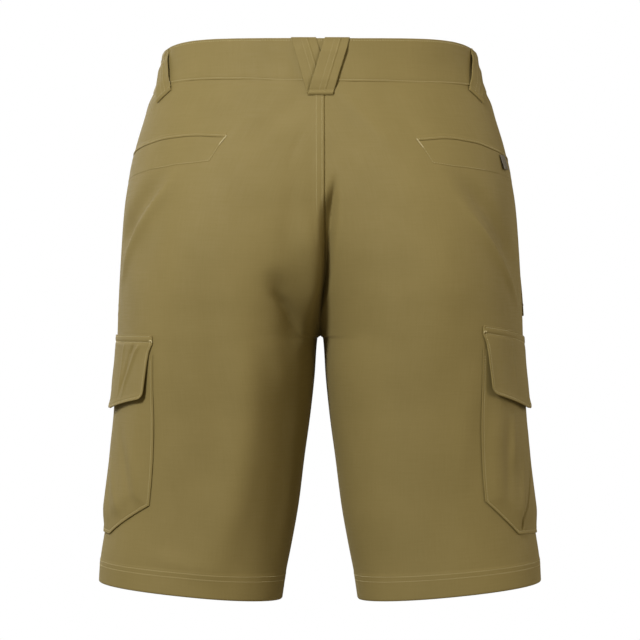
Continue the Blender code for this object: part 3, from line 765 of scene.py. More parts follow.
hem_rows = []
for each_side in SIDES:
    for row_up in HEM_ROWS:
        front_end = -girth(HEM + row_up, False) + 1
        back_end = girth(HEM + row_up) - 1
        round_leg = np.concatenate([np.linspace(front_end, 0, 120), np.linspace(0, back_end, 120)[1:]])
        hem_rows.append(row_on_panel(each_side, round_leg, HEM + row_up))
sewn("hem_topstitching", hem_rows)


# ---------------------------------------------------------------------------------------------------------
# Waistband: one straight strip of the same cloth, folded along its top edge and stitched all round near
# both edges. Its left front end lies over the right one.
# ---------------------------------------------------------------------------------------------------------
BAND_OUT = 0.7
BAND_IN = 2.0
BAND_OVERLAP = 22.0
BAND_UNDERLAP = 26.0
BAND_RAMP = (60.0, 30.0)
SEWN_ON = 0.5
BAND_TOP_ROW = 2.2
BAND_LOW_ROW = 1.8
BAND_END_ROW = 2.2

# The lower edge wavers across the back: how far it drops, by the distance round from the centre back
BAND_LOW_RUNS = (-160, -125, -95, -40, 0, 35, 80, 120, 155)
BAND_LOW_DROPS = (0.5, 1.4, 2.6, 2.4, 2.2, 1.8, -0.5, -1.8, -2.3)
BAND_LOW_REACH = 24.0

# Relief: rolled in at the seam, puckered at the rows of stitches, and slow waves between
BAND_ROLL_DEPTH = 0.4
BAND_ROLL_REACH = 2.6
BAND_PUCKER = 0.07
BAND_PUCKER_REACH = 5.0
BAND_WAVE_HEIGHT = 0.3


def round_waist(run, level, lift=0.0):
    """Places by the distance round from the centre back, to the wearer's left above 0, with directions."""
    run, level, lift = np.broadcast_arrays(*[np.asarray(v, float) for v in (run, level, lift)])
    around = girth(level) - np.abs(run)
    past = -around - girth(level, False)
    around = np.where(past > 0, past - girth(level, False), around)
    on_left = ((run >= 0) != (past > 0))[..., None]
    left, right = cloth("left", around, level, lift), cloth("right", around, level, lift)
    return np.where(on_left, left[0], right[0]), np.where(on_left, left[1], right[1])


half_waist = girth(0) + girth(0, False)


def band_lift(run):
    """The outer end of the band is carried over its inner end."""
    over = soft_step(run, half_waist - BAND_RAMP[0], half_waist - BAND_RAMP[1])
    return over * (BAND_OUT + BAND_IN + SEWN_ON)


def band_low(run):
    """The level of the band's lower edge."""
    near = [hump(run - place, BAND_LOW_REACH) for place in BAND_LOW_RUNS]
    away = 0.05
    drop = sum(share * low for share, low in zip(near, BAND_LOW_DROPS)) / (sum(near) + away)
    return WAIST_SEAM - drop


def band_relief(run, level):
    """Height of the finished band over a plain strip."""
    from_top, from_low = BAND_TOP - level, level - band_low(run)
    height = -grooves(from_top, [BAND_TOP_ROW]) - grooves(from_low, [BAND_LOW_ROW])
    height = height - BAND_ROLL_DEPTH * hump(from_low, BAND_ROLL_REACH)
    pucker = np.sin(run / 2.6) + 0.6 * np.sin(run / 4.3 + 2)
    near_rows = hump(from_top, BAND_PUCKER_REACH) + hump(from_low, BAND_PUCKER_REACH)
    wave = np.sin(run / 23) * np.sin(level / 12)
    return height + BAND_PUCKER * pucker * near_rows + BAND_WAVE_HEIGHT * wave


band_start, band_end = -(half_waist + BAND_UNDERLAP), half_waist + BAND_OVERLAP


def make_waistband():
    run = band_start + spread(band_end - band_start, 3.4)[None]
    down = spread(BAND_TOP - WAIST_SEAM, 2.6)[:, None]
    run, down = np.broadcast_arrays(run, down)
    level = between(BAND_TOP, band_low(run), down / (BAND_TOP - WAIST_SEAM))
    from_edge = np.minimum.reduce([run - band_start, band_end - run, BAND_TOP - level, level - band_low(run)])
    half = nose(from_edge, 1.0) * (BAND_OUT + BAND_IN)
    middle = band_lift(run) + band_relief(run, level) + (BAND_OUT - BAND_IN) / 2
    piece = cloth_piece("waistband", round_waist, run, level, middle - half, middle + half)
    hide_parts("waistband")


def row_on_band(run, level):
    run, level = np.broadcast_arrays(np.asarray(run, float), np.asarray(level, float))
    face = band_lift(run) + band_relief(run, level) + BAND_OUT
    return stitches(*round_waist(run, level, face + STITCH_SITS))


make_waistband()
ROW_STARTS = 3.0
band_runs = np.linspace(band_start + ROW_STARTS, band_end - ROW_STARTS, 500)
end_levels = np.linspace(BAND_TOP - ROW_STARTS, WAIST_SEAM + ROW_STARTS, 24)
sewn("waistband_topstitching", [
    row_on_band(band_runs, BAND_TOP - BAND_TOP_ROW),
    row_on_band(band_runs, band_low(band_runs) + BAND_LOW_ROW),
    row_on_band(band_end - BAND_END_ROW, end_levels),
])


# ---------------------------------------------------------------------------------------------------------
# Back pocket welts. The cloth is slit and a folded strip fills the lower half of the opening. The panel's
# edge above it is folded under and stitched, so the mouth shows as a thin dark line.
# ---------------------------------------------------------------------------------------------------------
WeltStation = namedtuple("WeltStation", "around top bottom")
WELT = {
    "left": (
        WeltStation(10, -83.0, -109.0), WeltStation(40, -80.0, -106.0), WeltStation(66, -77.0, -103.8),
        WeltStation(97, -74.0, -101.5), WeltStation(134, -73.0, -99.3), WeltStation(164, -75.0, -96.5),
    ),
    "right": (
        WeltStation(10, -89.0, -109.5), WeltStation(40, -86.0, -107.0), WeltStation(66, -82.6, -105.0),
        WeltStation(97, -77.6, -103.6), WeltStation(130, -75.3, -101.8), WeltStation(163, -78.0, -98.5),
    ),
}
STATION_REACH = 21.0

# How far a welt stands out at its mouth, and at its foot by the side seam and farther back
WELT_THICK = 1.2
WELT_STANDS = 0.9
WELT_FOOT_STANDS = (0.18, 0.38)
WELT_FOOT_CHANGES = (15.0, 90.0)
WELT_END_FLAT = (120.0, 145.0)
WELT_SIDE_FLAT = (50.0, 10.0)
WELT_END_SLANT = -5.0

# The lip is the panel's folded edge above the mouth, which runs out flat over its width
MOUTH_AT_SIDE = 1.1
MOUTH_AT_END = 0.45
LIP_WIDTH = 6.0
LIP_THICK = 1.0
LIP_STANDS = (0.8, 0.05)
LIP_GROOVE = 0.2

# The rows of small stitches: how far off the edges they run, and the bar across the mouth's inner end
WELT_STITCH = {"length": 1.1, "width": 0.55}
LIP_STITCH = {"length": 1.1, "width": 0.5}
LIP_ROW = 1.8
LOW_ROW = 1.2
LOW_ROW_STARTS = 84.0
END_ROW = 1.0
END_TACK_LEVELS = (2.2, -6.5)
END_TACK_WIDTH = 1.8


def patch(node, side, around, level, middle, thick, from_edge):
    """A piece sewn onto a panel, from the lift of its middle, its thickness and its distances off an edge."""
    half = nose(from_edge, 1.0) * thick
    piece = cloth_piece(node, partial(cloth, side), around, level, middle - half, middle + half)
    return piece


def least(*distances):
    """The distance off the nearest of several edges."""
    return np.minimum.reduce(np.broadcast_arrays(*distances))


def row_on_piece(side, around, level, lift, **size):
    return stitches(*cloth(side, around, level, lift), **size)


def welt_edges(side, around):
    """The top and bottom edges of a welt, eased between their stations."""
    stations = WELT[side]
    near = [hump(around - station.around, STATION_REACH) for station in stations]
    total = sum(near)
    top = sum(station.top * share for station, share in zip(stations, near)) / total
    bottom = sum(station.bottom * share for station, share in zip(stations, near)) / total
    return top, bottom


def welt_ends(side):
    return WELT[side][0].around, WELT[side][-1].around


def make_welt(side):
    first, last = welt_ends(side)
    along = spread(last - first, 2.6)[None]
    across = spread(25.0, 2.2)[:, None]
    share = across / across.max()
    around = first + along + WELT_END_SLANT * share * soft_step(along, 60, last - first)
    top, bottom = welt_edges(side, around)
    level = between(top, bottom, share)
    from_edge = least(top - level, 0.5 * (level - bottom), 0.5 * along, 0.5 * (along.max() - along))
    flat = np.maximum(soft_step(share, 0.0, 0.85), soft_step(along, *WELT_END_FLAT))
    flat = np.maximum(flat, 0.6 * soft_step(along, *WELT_SIDE_FLAT))
    stand = between(WELT_STANDS, between(*WELT_FOOT_STANDS, soft_step(along, *WELT_FOOT_CHANGES)), flat)
    piece = patch(f"back_pocket_welt_{side}", side, around, level, stand - WELT_THICK / 2, WELT_THICK,
                  from_edge)
    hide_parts(f"back_pocket_welt_{side}")


def lip_edge(side, around):
    """The level of the lip's folded edge, a thin mouth above the welt."""
    first, last = welt_ends(side)
    top, _ = welt_edges(side, around)
    return top + between(MOUTH_AT_SIDE, MOUTH_AT_END, (around - first) / (last - first))


def make_lip(side):
    first, last = welt_ends(side)
    lip = spread(LIP_WIDTH, 1.2)[:, None]
    around = first + spread(last - first, 2.6)[None] + 0 * lip
    from_edge = least(lip, 0.3 * (LIP_WIDTH - lip), 0.5 * (around - first), 0.5 * (last - around))
    stand = between(*LIP_STANDS, soft_step(lip, 0.6, LIP_WIDTH))
    stand = stand - LIP_GROOVE * hump(lip - LIP_ROW, GROOVE_HALF_WIDTH)
    patch(f"back_pocket_lip_{side}", side, around, lip_edge(side, around) + lip, stand - LIP_THICK / 2,
          LIP_THICK, from_edge)


def stitch_welt(side):
    first, last = welt_ends(side)
    line = np.linspace(first + 1, last - 1, 120)
    low_line = np.linspace(first + LOW_ROW_STARTS, last + WELT_END_SLANT - 1, 60)
    _, low = welt_edges(side, low_line)
    down = np.linspace(0.1, 1, 14)
    end_line = last + WELT_END_SLANT * down
    end_top, end_bottom = welt_edges(side, end_line)
    end_level = between(end_top, end_bottom + LOW_ROW, down)
    tack = np.linspace(0, 1, 10)
    tack_top, _ = welt_edges(side, np.array(last))
    tack_level = tack_top + between(*END_TACK_LEVELS, tack)
    tack_places, tack_outs = cloth(side, last + 0.6 - 3 * tack, tack_level, 0.5)
    sewn(f"back_pocket_stitching_{side}", [
        row_on_piece(side, line, lip_edge(side, line) + LIP_ROW, 0.7, **LIP_STITCH),
        row_on_piece(side, low_line, low + LOW_ROW, 0.32, **WELT_STITCH),
        row_on_piece(side, end_line - END_ROW, end_level, 0.32, **WELT_STITCH),
        cross_stitches(tack_places, tack_outs, END_TACK_WIDTH),
    ])


for each_side in SIDES:
    make_welt(each_side)
    make_lip(each_side)
    stitch_welt(each_side)


# ---------------------------------------------------------------------------------------------------------
# Tab: a folded length of plain grey woven tape, ribbed across. It is caught in the mouth of the right back
# pocket, nearer its outer end.
# ---------------------------------------------------------------------------------------------------------
TAB_PLACE = 51.5
TAB_WIDTH = 12.0
TAB_TOP = -86.0
TAB_LENGTH = 14.0
TAB_THICK = 0.9
TAB_STANDS = 2.3
TAB_FALLS_AWAY = 0.5
# The grey of the tape's ribs, and a darker grey painted into the grooves between them as shade
TAB_GREY = "#7a7365"
TAB_GREY_PAINTED_GROOVE_SHADE = "#5a544a"
TAB_RIB_MM = 0.9
RIB_RELIEF_MM = 0.2
UNSCALED_RIB_M = 0.314


def tape_material():
    """Matt polyester tape, woven in fine ribs, with painted shade in the grooves between them. The bands of
    a wave texture lie about a third of a metre apart at a scale of 1."""
    made, tree, shader = new_material("grey_woven_tape")
    cut = add(tree, "ShaderNodeUVMap", uv_map="cut")
    rib_scale = UNSCALED_RIB_M / (TAB_RIB_MM * MM)
    ribs = add(tree, "ShaderNodeTexWave",
               {"Vector": cut.outputs["UV"], "Scale": rib_scale, "Distortion": 0.3}, bands_direction="Y")
    # The colour follows the ribs' relief: darker where it is low, as painted shade in the grooves
    tone = add(tree, "ShaderNodeMix", {"Factor": ribs.outputs["Fac"]}, data_type="RGBA")
    tone.inputs["A"].default_value = srgb(TAB_GREY_PAINTED_GROOVE_SHADE)
    tone.inputs["B"].default_value = srgb(TAB_GREY)
    tree.links.new(tone.outputs["Result"], shader.inputs["Base Color"])
    bump = add(tree, "ShaderNodeBump",
               {"Height": ribs.outputs["Fac"], "Strength": 0.5, "Distance": RIB_RELIEF_MM * MM})
    tree.links.new(bump.outputs[0], shader.inputs["Normal"])
    shader.inputs["Roughness"].default_value = 0.6
    return made


def make_tab():
    across = spread(TAB_WIDTH, 1.5)[None]
    down = spread(TAB_LENGTH, 1.5)[:, None]
    around, level = np.broadcast_arrays(TAB_PLACE - TAB_WIDTH / 2 + across, TAB_TOP - down)
    from_edge = least(across, TAB_WIDTH - across, down, TAB_LENGTH - down)
    middle = TAB_STANDS + TAB_FALLS_AWAY * soft_step(down, 4, TAB_LENGTH)
    piece = patch("pocket_tab", "right", around, level, middle, TAB_THICK, from_edge)
    piece.data.materials[0] = tape_material()
    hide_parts("pocket_tab")


make_tab()


# ---------------------------------------------------------------------------------------------------------
# Cargo pockets: a bag with cut corners and a pleat down its middle, turned under and stitched to the leg.
# The flap over each is two layers, turned out, edge-stitched, and sewn down along its top.
# ---------------------------------------------------------------------------------------------------------
# Where each pocket sits behind the side seam, how it and its flap tip, and its outline
POCKET_MIDDLE = {"left": 30.0, "right": 36.0}
POCKET_TIP = {"left": 0.0, "right": 0.06}
FLAP_TIP = {"left": 0.0, "right": 0.11}
POCKET_HALF_WIDTH = 85.0
POCKET_NARROWS = 13.0
POCKET_TOP = -277.0
POCKET_CORNER = -425.5
POCKET_BOTTOM = -459.5
POCKET_FLAT_BOTTOM = {"left": 17.0, "right": 37.0}
POCKET_CORNER_SLOPE = 0.93

# How it stands out: tight where it is stitched and near its mouth, and full in its middle
POCKET_STANDS = 3.8
POCKET_TIGHT = 0.3
POCKET_MOUTH_TIGHT = 0.28
POCKET_ROW = 3.0
ROW_DEPTH = 0.35
ROW_HALF_WIDTH = 0.8

# The pleat is a fold that opens forward. Its edge wanders down the pocket: distances round at levels.
PLEAT_DEPTH = 3.4
PLEAT_OPEN = 2.4
PLEAT_WALL = 1.2
PLEAT_FOLDED_HEIGHT = 0.5
PLEAT_FOLDED_REACH = 16.0
PLEAT_LEVELS = (-458, -442, -430, -394, -364, -300)
PLEAT_AROUND = {"left": (20, 16, 12, 7, 5, 4), "right": (64, 61, 52, 32, 19, 15)}
POCKET_FOLDS = (
    Fold("left", 54, -340, 88, -450, 0, 7, -1.3),
    Fold("left", 68, -350, 100, -440, 0, 8, 0.9),
    Fold("left", 24, -372, 74, -456, 0, 6, 1.3),
    Fold("left", 16, -390, 54, -456, 0, 5, -0.9),
    Fold("left", -40, -300, -24, -420, 3, 8, 1.1),
    Fold("right", 68, -318, 72, -400, 0, 6, 1.2),
    Fold("right", 79, -330, 82, -446, 0, 7, -1.2),
    Fold("right", 48, -362, 64, -446, 2, 6, 1.2),
    Fold("right", 98, -330, 102, -430, 0, 10, 0.9),
    Fold("right", -30, -310, -14, -430, 3, 8, 1.1),
)

# The flap's outline. It is sewn down over its top strip, and draws in below it, at first quickly.
FLAP_TOP = -258.5
FLAP_STITCHED = 7.0
FLAP_CORNER = -319.5
FLAP_BOTTOM = -331.5
FLAP_FLAT_BOTTOM = 10.0
FLAP_NARROWS = 15.4
FLAP_NARROWS_QUICKLY = (0, 0.16)
FLAP_QUICK_SHARE = 0.2
FLAP_ROUND = 7.0
FLAP_TOP_ROUND = 2.5

# How it stands out, its rows of stitches, and its ridges and troughs: shares across at their top and bottom,
# and heights
FLAP_THICK = 1.6
FLAP_STANDS = 8.1
FLAP_FLAT = 1.8
FLAP_BEND = 1.35
FLAP_CURL = 0.9
FLAP_ROW = 2.6
FLAP_TOP_ROW = 1.6
FLAP_TOP_GROOVES = ((FLAP_TOP_ROW, 0.35), (FLAP_STITCHED, 0.7))
FLAP_TOP_GROOVE_HALF_WIDTH = 0.9
FLAP_TACK_WIDTH = 1.9
RIDGE_WIDTH = 2.4
FlapRidge = namedtuple("FlapRidge", "top low height")
FLAP_RIDGES = {
    "left": (
        FlapRidge(0.86, 0.46, 1.7), FlapRidge(0.74, 0.34, -1.6), FlapRidge(0.44, 0.38, 0.9),
        FlapRidge(-0.5, -0.4, 1.2), FlapRidge(-0.3, -0.34, -0.9),
    ),
    "right": (
        FlapRidge(0.5, 0.42, 0.3), FlapRidge(-0.74, -0.4, 0.8), FlapRidge(-0.62, -0.3, -0.8),
        FlapRidge(-0.2, -0.24, 0.5),
    ),
}


def pointed_edge(off_middle, flat_half, corner, bottom):
    """The level of a bottom edge that is flat in the middle and rises to a corner at each side."""
    share = np.clip((np.abs(off_middle) - flat_half) / (POCKET_HALF_WIDTH - flat_half), 0, 1)
    return between(bottom, corner, share)


def pocket_edge(side, off_share):
    off_middle = off_share * POCKET_HALF_WIDTH
    return pointed_edge(off_middle, POCKET_FLAT_BOTTOM[side], POCKET_CORNER, POCKET_BOTTOM)


def pocket_place(side, off_share, down):
    """Where a point of a cargo pocket lies, from its shares across (-1 to 1) and down."""
    off_middle = off_share * (POCKET_HALF_WIDTH - POCKET_NARROWS * down)
    level = between(POCKET_TOP, pocket_edge(side, off_share), down) + POCKET_TIP[side] * off_middle
    return POCKET_MIDDLE[side] + off_middle, level


def pocket_edge_distance(side, off_share, down):
    across = (1 - np.abs(off_share)) * (POCKET_HALF_WIDTH - POCKET_NARROWS * down)
    below = (1 - down) * (POCKET_TOP - pocket_edge(side, off_share)) * POCKET_CORNER_SLOPE
    return np.minimum(across, below)


def pocket_lift(side, off_share, down):
    """Height of a cargo pocket's outer face: full in its middle, tight at its stitched edges."""
    from_edge = pocket_edge_distance(side, off_share, down)
    full = between(POCKET_MOUTH_TIGHT, 1, soft_step(down, 0.12, 0.55))
    body = between(POCKET_TIGHT, 1, soft_step(from_edge, 2, 26)) * full * POCKET_STANDS + SEWN_ON
    groove = ROW_DEPTH * hump(from_edge - POCKET_ROW, ROW_HALF_WIDTH)
    around, level = pocket_place(side, off_share, down)
    behind = around - np.interp(level, PLEAT_LEVELS, PLEAT_AROUND[side])
    folded = np.where(behind < 0, 0, np.exp(-np.abs(behind) / PLEAT_FOLDED_REACH))
    folded = PLEAT_FOLDED_HEIGHT * full * folded
    opening = soft_step(behind, -PLEAT_OPEN - PLEAT_WALL, -PLEAT_OPEN) * soft_step(behind, 0.5, -0.5)
    pleat = PLEAT_DEPTH * full * opening * soft_step(from_edge, 1, 10)
    folds = 0.3 * np.sin(off_share * 5 + down * 3) + fold_height(side, around, level, POCKET_FOLDS)
    folds = folds * soft_step(from_edge, 3, 16) * soft_step(down, 0.2, 0.4)
    return body - groove - pleat + folded * soft_step(from_edge, 2, 14) + folds


def make_cargo_pocket(side):
    """A pocket. Gives its rows of stitches, down both sides and along the bottom."""
    length = 170
    across = spread(2 * POCKET_HALF_WIDTH, 0.9)[None] / POCKET_HALF_WIDTH - 1
    down = (spread(length, 2.6) / length)[:, None]
    off_share, down = np.broadcast_arrays(across, down)
    around, level = pocket_place(side, off_share, down)
    face = pocket_lift(side, off_share, down)
    from_edge = pocket_edge_distance(side, off_share, down)
    thick = np.minimum(face - 0.35, CLOTH)
    piece = patch(f"cargo_pocket_{side}", side, around, level, face - thick / 2, thick, from_edge)
    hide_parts(f"cargo_pocket_{side}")

    inset = POCKET_ROW / (POCKET_HALF_WIDTH - 5)
    sides = np.linspace(0.04, 1 - POCKET_ROW / 150, 90)
    bottom = np.linspace(-1 + inset, 1 - inset, 130)
    low = 1 - POCKET_ROW / (POCKET_CORNER_SLOPE * (POCKET_TOP - pocket_edge(side, bottom)))
    rows = []
    for off_shares, downs in ((-1 + inset + 0 * sides, sides), (1 - inset + 0 * sides, sides), (bottom, low)):
        around, level = pocket_place(side, off_shares, downs)
        rows.append(row_on_piece(side, around, level, pocket_lift(side, off_shares, downs) + STITCH_SITS))
    return rows


def flap_edge(off_share):
    """The level of a flap's bottom edge, rounded off at its corners."""
    off_middle = off_share * POCKET_HALF_WIDTH
    into_corner = np.clip((np.abs(off_middle) - POCKET_HALF_WIDTH + FLAP_ROUND) / FLAP_ROUND, 0, 1)
    rounding = FLAP_ROUND * (1 - np.sqrt(1 - into_corner**2))
    return pointed_edge(off_middle, FLAP_FLAT_BOTTOM, FLAP_CORNER, FLAP_BOTTOM) + rounding


def flap_place(side, off_share, down):
    """Where a point of a flap lies: its shares across (-1 to 1) and down."""
    into_corner = np.clip((np.abs(off_share) - 1) * POCKET_HALF_WIDTH / FLAP_TOP_ROUND + 1, 0, 1)
    top = FLAP_TOP - FLAP_TOP_ROUND * (1 - np.sqrt(1 - into_corner**2))
    level = between(top, flap_edge(off_share), down)
    freed = np.clip((FLAP_TOP - FLAP_STITCHED - level) / (FLAP_TOP - FLAP_STITCHED - FLAP_BOTTOM), 0, 1)
    narrowing = FLAP_NARROWS * between(freed, soft_step(freed, *FLAP_NARROWS_QUICKLY), FLAP_QUICK_SHARE)
    off_middle = off_share * (POCKET_HALF_WIDTH + 1 - narrowing)
    tip = between(FLAP_TIP[side], POCKET_TIP[side], (FLAP_TOP - level) / (FLAP_TOP - FLAP_BOTTOM))
    return POCKET_MIDDLE[side] + off_middle, level + tip * off_middle


def flap_edge_distances(off_share, down):
    """Distances off a flap's sides, top and bottom."""
    across = (1 - np.abs(off_share)) * (POCKET_HALF_WIDTH - 0.7 * FLAP_NARROWS * down)
    edge = flap_edge(off_share)
    return across, down * (FLAP_TOP - edge), (1 - down) * (FLAP_TOP - edge)


def flap_lift(side, off_share, down):
    """Height of a flap's outer face: flat where it is stitched, then more and more out over the pocket."""
    across, from_top, from_bottom = flap_edge_distances(off_share, down)
    hangs = np.clip((from_top - FLAP_STITCHED - 1) / (FLAP_TOP - FLAP_BOTTOM - FLAP_STITCHED - 1), 0, 1)
    height = FLAP_FLAT + (FLAP_STANDS - FLAP_FLAT) * hangs**FLAP_BEND
    from_edge = np.minimum(across, from_bottom)
    groove = ROW_DEPTH * hump(from_edge - FLAP_ROW, ROW_HALF_WIDTH)
    for row, deep in FLAP_TOP_GROOVES:
        groove = groove + deep * hump(from_top - row, FLAP_TOP_GROOVE_HALF_WIDTH)
    folds = 0.5 * np.sin(off_share * 6.5 + 0.8) * soft_step(from_top, 8, 30)
    ridges_show = soft_step(from_top, FLAP_STITCHED, 2 * FLAP_STITCHED) * soft_step(down, 1, 0.6)
    for ridge in FLAP_RIDGES[side]:
        off = (off_share - between(ridge.top, ridge.low, down)) * POCKET_HALF_WIDTH
        folds = folds + ridge.height * hump(off, RIDGE_WIDTH) * ridges_show
    curl = FLAP_CURL * soft_step(from_edge, 8, 0) * soft_step(from_top, 10, 26)
    return height - groove + folds + curl


def make_cargo_flap(side):
    """A flap. Gives its rows of stitches, and a bartack at both ends of its top strip."""
    length = 73
    across = spread(2 * POCKET_HALF_WIDTH, 1.1)[None] / POCKET_HALF_WIDTH - 1
    down = (spread(length, 2.4) / length)[:, None]
    off_share, down = np.broadcast_arrays(across, down)
    around, level = flap_place(side, off_share, down)
    face = flap_lift(side, off_share, down)
    from_edge = least(*flap_edge_distances(off_share, down))
    piece = patch(f"cargo_flap_{side}", side, around, level, face - FLAP_THICK / 2, FLAP_THICK, from_edge)
    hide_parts(f"cargo_flap_{side}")

    rows = []
    inset = FLAP_ROW / (POCKET_HALF_WIDTH - 8)
    across = np.linspace(-1 + inset, 1 - inset, 120)
    edge = flap_edge(across)
    sides = np.linspace(0.12, 1 - FLAP_ROW / (FLAP_TOP - FLAP_CORNER), 50)
    lines = [(across, row / (FLAP_TOP - edge)) for row in (FLAP_TOP_ROW, FLAP_STITCHED)]
    lines.append((across, 1 - FLAP_ROW / (FLAP_TOP - edge)))
    lines += [(sign * (1 - inset) + 0 * sides, sides) for sign in (-1, 1)]
    for off_shares, downs in lines:
        around, level = flap_place(side, off_shares, downs)
        rows.append(row_on_piece(side, around, level, flap_lift(side, off_shares, downs) + STITCH_SITS))
    for sign in (-1, 1):
        tack = sign * (1 - np.linspace(0.0, 0.045, 6))
        tack_down = 0.09 + 0 * tack
        around, level = flap_place(side, tack, tack_down)
        places, outs = cloth(side, around, level, flap_lift(side, tack, tack_down) + 0.1)
        rows.append(cross_stitches(places, outs, FLAP_TACK_WIDTH))
    return rows


for each_side in SIDES:
    sewn(f"cargo_stitching_{each_side}", make_cargo_pocket(each_side) + make_cargo_flap(each_side))


# ---------------------------------------------------------------------------------------------------------
# Hand pockets and fly, at the front. Each pocket's slanted edge is folded under and stitched twice. The fly
# is a strip on the left front beside the opening, held by two rows of stitches that curve in at its foot.
# ---------------------------------------------------------------------------------------------------------
HAND_POCKET_TOP = (-76.0, -21.0)
HAND_POCKET_END = {"left": (-14.0, -240.0), "right": (-1.0, -240.0)}
HAND_POCKET_EDGE = 12.0
HAND_POCKET_LENGTH = 232.0
HAND_POCKET_BOWS = 6.0
HAND_POCKET_STANDS = (0.45, 1.9)
HAND_POCKET_ROWS = (0.35, 0.8)
HAND_POCKET_TACKS = (0.035, 0.95)
FLY_WIDTH = 36.0
FLY_LENGTH = 128.0
FLY_STRAIGHT = 110.0
FLY_END = -150.0
FLY_ROUND = 34.0
FLY_STANDS = (1.9, 0.5)
FLY_ROWS = (0.86, 0.72)
FLY_ROWS_BEND = 0.72
FLY_TACKS = (0.78, 0.965)
EDGE_THICK = 1.0
FRONT_TACK_WIDTH = 2.2


def hand_pocket_place(side, across, down):
    end = HAND_POCKET_END[side]
    middle = between(HAND_POCKET_TOP[0], end[0], down) + HAND_POCKET_BOWS * np.sin(math.pi * down)
    return middle - HAND_POCKET_EDGE * (1 - across), between(HAND_POCKET_TOP[1], end[1], down)


def hand_pocket_lift(across):
    """The folded edge stands off at the mouth and runs flat into the front."""
    stand = between(*HAND_POCKET_STANDS, soft_step(across, 0.1, 0.95))
    for row in HAND_POCKET_ROWS:
        stand = stand - 0.25 * hump(across - row, 0.06)
    return stand


def make_hand_pocket(side):
    """The folded edge. Gives its two rows of stitches, and a bartack at both ends."""
    across = (spread(HAND_POCKET_EDGE, 1.2) / HAND_POCKET_EDGE)[None]
    down = (spread(HAND_POCKET_LENGTH, 3.0) / HAND_POCKET_LENGTH)[:, None]
    across, down = np.broadcast_arrays(across, down)
    around, level = hand_pocket_place(side, across, down)
    from_edge = least(0.25 * across * HAND_POCKET_EDGE, (1 - across) * HAND_POCKET_EDGE,
                      down * HAND_POCKET_LENGTH, (1 - down) * HAND_POCKET_LENGTH)
    middle = hand_pocket_lift(across) - EDGE_THICK / 2
    piece = patch(f"hand_pocket_edge_{side}", side, around, level, middle, EDGE_THICK, from_edge)
    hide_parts(f"hand_pocket_edge_{side}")
    rows = []
    line = np.linspace(0.02, 0.97, 90)
    for row in HAND_POCKET_ROWS:
        around, level = hand_pocket_place(side, row + 0 * line, line)
        rows.append(row_on_piece(side, around, level, hand_pocket_lift(row) + STITCH_SITS))
    for down_at in HAND_POCKET_TACKS:
        tack = np.linspace(0.3, 1.0, 6)
        around, level = hand_pocket_place(side, tack, down_at + 0 * tack)
        places, outs = cloth(side, around, level, hand_pocket_lift(tack) + 0.1)
        rows.append(cross_stitches(places, outs, FRONT_TACK_WIDTH))
    return rows


def fly_place(across, down):
    """Where a point of the fly lies. Its foot rounds up into the centre seam."""
    rounding = FLY_ROUND * (1 - np.sqrt(np.clip(1 - across**2, 0, 1)))
    level = between(WAIST_SEAM - 0.3, FLY_END + rounding, down)
    return -girth(level, False) + 1 + FLY_WIDTH * across, level


def fly_lift(across):
    return between(*FLY_STANDS, soft_step(across, 0, 0.9))


def make_fly():
    """The fly. Gives its two rows of stitches, which curve round at the foot, and its two bartacks."""
    across = (spread(FLY_WIDTH, 2.0) / FLY_WIDTH)[None]
    down = (spread(FLY_LENGTH, 2.6) / FLY_LENGTH)[:, None]
    across, down = np.broadcast_arrays(across, down)
    around, level = fly_place(across, down)
    from_edge = least(across * FLY_WIDTH, 0.2 * (1 - across) * FLY_WIDTH,
                      down * FLY_LENGTH, 0.3 * (1 - down) * FLY_STRAIGHT)
    piece = patch("fly", "left", around, level, fly_lift(across) - EDGE_THICK / 2, EDGE_THICK, from_edge)
    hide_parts("fly")
    rows = []
    straight = np.linspace(0.02, FLY_ROWS_BEND, 50)
    bend = np.linspace(0, math.pi / 2, 40)[1:]
    for inset in FLY_ROWS:
        line_across = np.concatenate([inset + 0 * straight, inset * np.cos(bend)])
        foot = FLY_ROWS_BEND + (inset + 0.08 - FLY_ROWS_BEND) * np.sin(bend)
        around, level = fly_place(line_across, np.concatenate([straight, foot]))
        rows.append(row_on_piece("left", around, level, fly_lift(line_across) + STITCH_SITS))
    for down_at in FLY_TACKS:
        tack = np.linspace(0.0, 0.16, 6)
        around, level = fly_place(tack, down_at + 0 * tack)
        places, outs = cloth("left", around, level, FLY_STANDS[0] + 0.1)
        rows.append(cross_stitches(places, outs, FRONT_TACK_WIDTH))
    return rows


front_rows = make_fly()
for each_side in SIDES:
    front_rows += make_hand_pocket(each_side)
sewn("front_stitching", front_rows)


# ---------------------------------------------------------------------------------------------------------
# Belt loops: strips folded in three and stitched along both edges, each held down at its ends. Two of them
# cross into one foot at the centre back.
# ---------------------------------------------------------------------------------------------------------
LOOP_THICK = 1.2
LOOP_STANDS = 2.2
BACK_LOOP_STANDS = 1.1
LOOP_SEWN_ON = 0.2
LOOP_SEWN = 8.0
LOOP_WIDTH = 22.0
LOOP_TOP = BAND_TOP + 0.6
LOOP_BOTTOM = -27.0
SIDE_LOOP_TOP = BAND_TOP - 0.8
SIDE_LOOP_BOTTOM = -25.0
SIDE_LOOP_RUNS = (185.0, 171.0)
SIDE_LOOP_SLANTS = (8.0, 11.0)
FRONT_LOOP_OFF_CENTRE = 82.0
BACK_LOOP_WIDTH = 24.0
BACK_LOOP_SPREAD = 16.3
BACK_LOOP_MIDDLE = (-0.4, 4.1)
BACK_LOOP_MIDDLE_MOVES = (12, -28)
BACK_LOOP_BOTTOM = -35.0

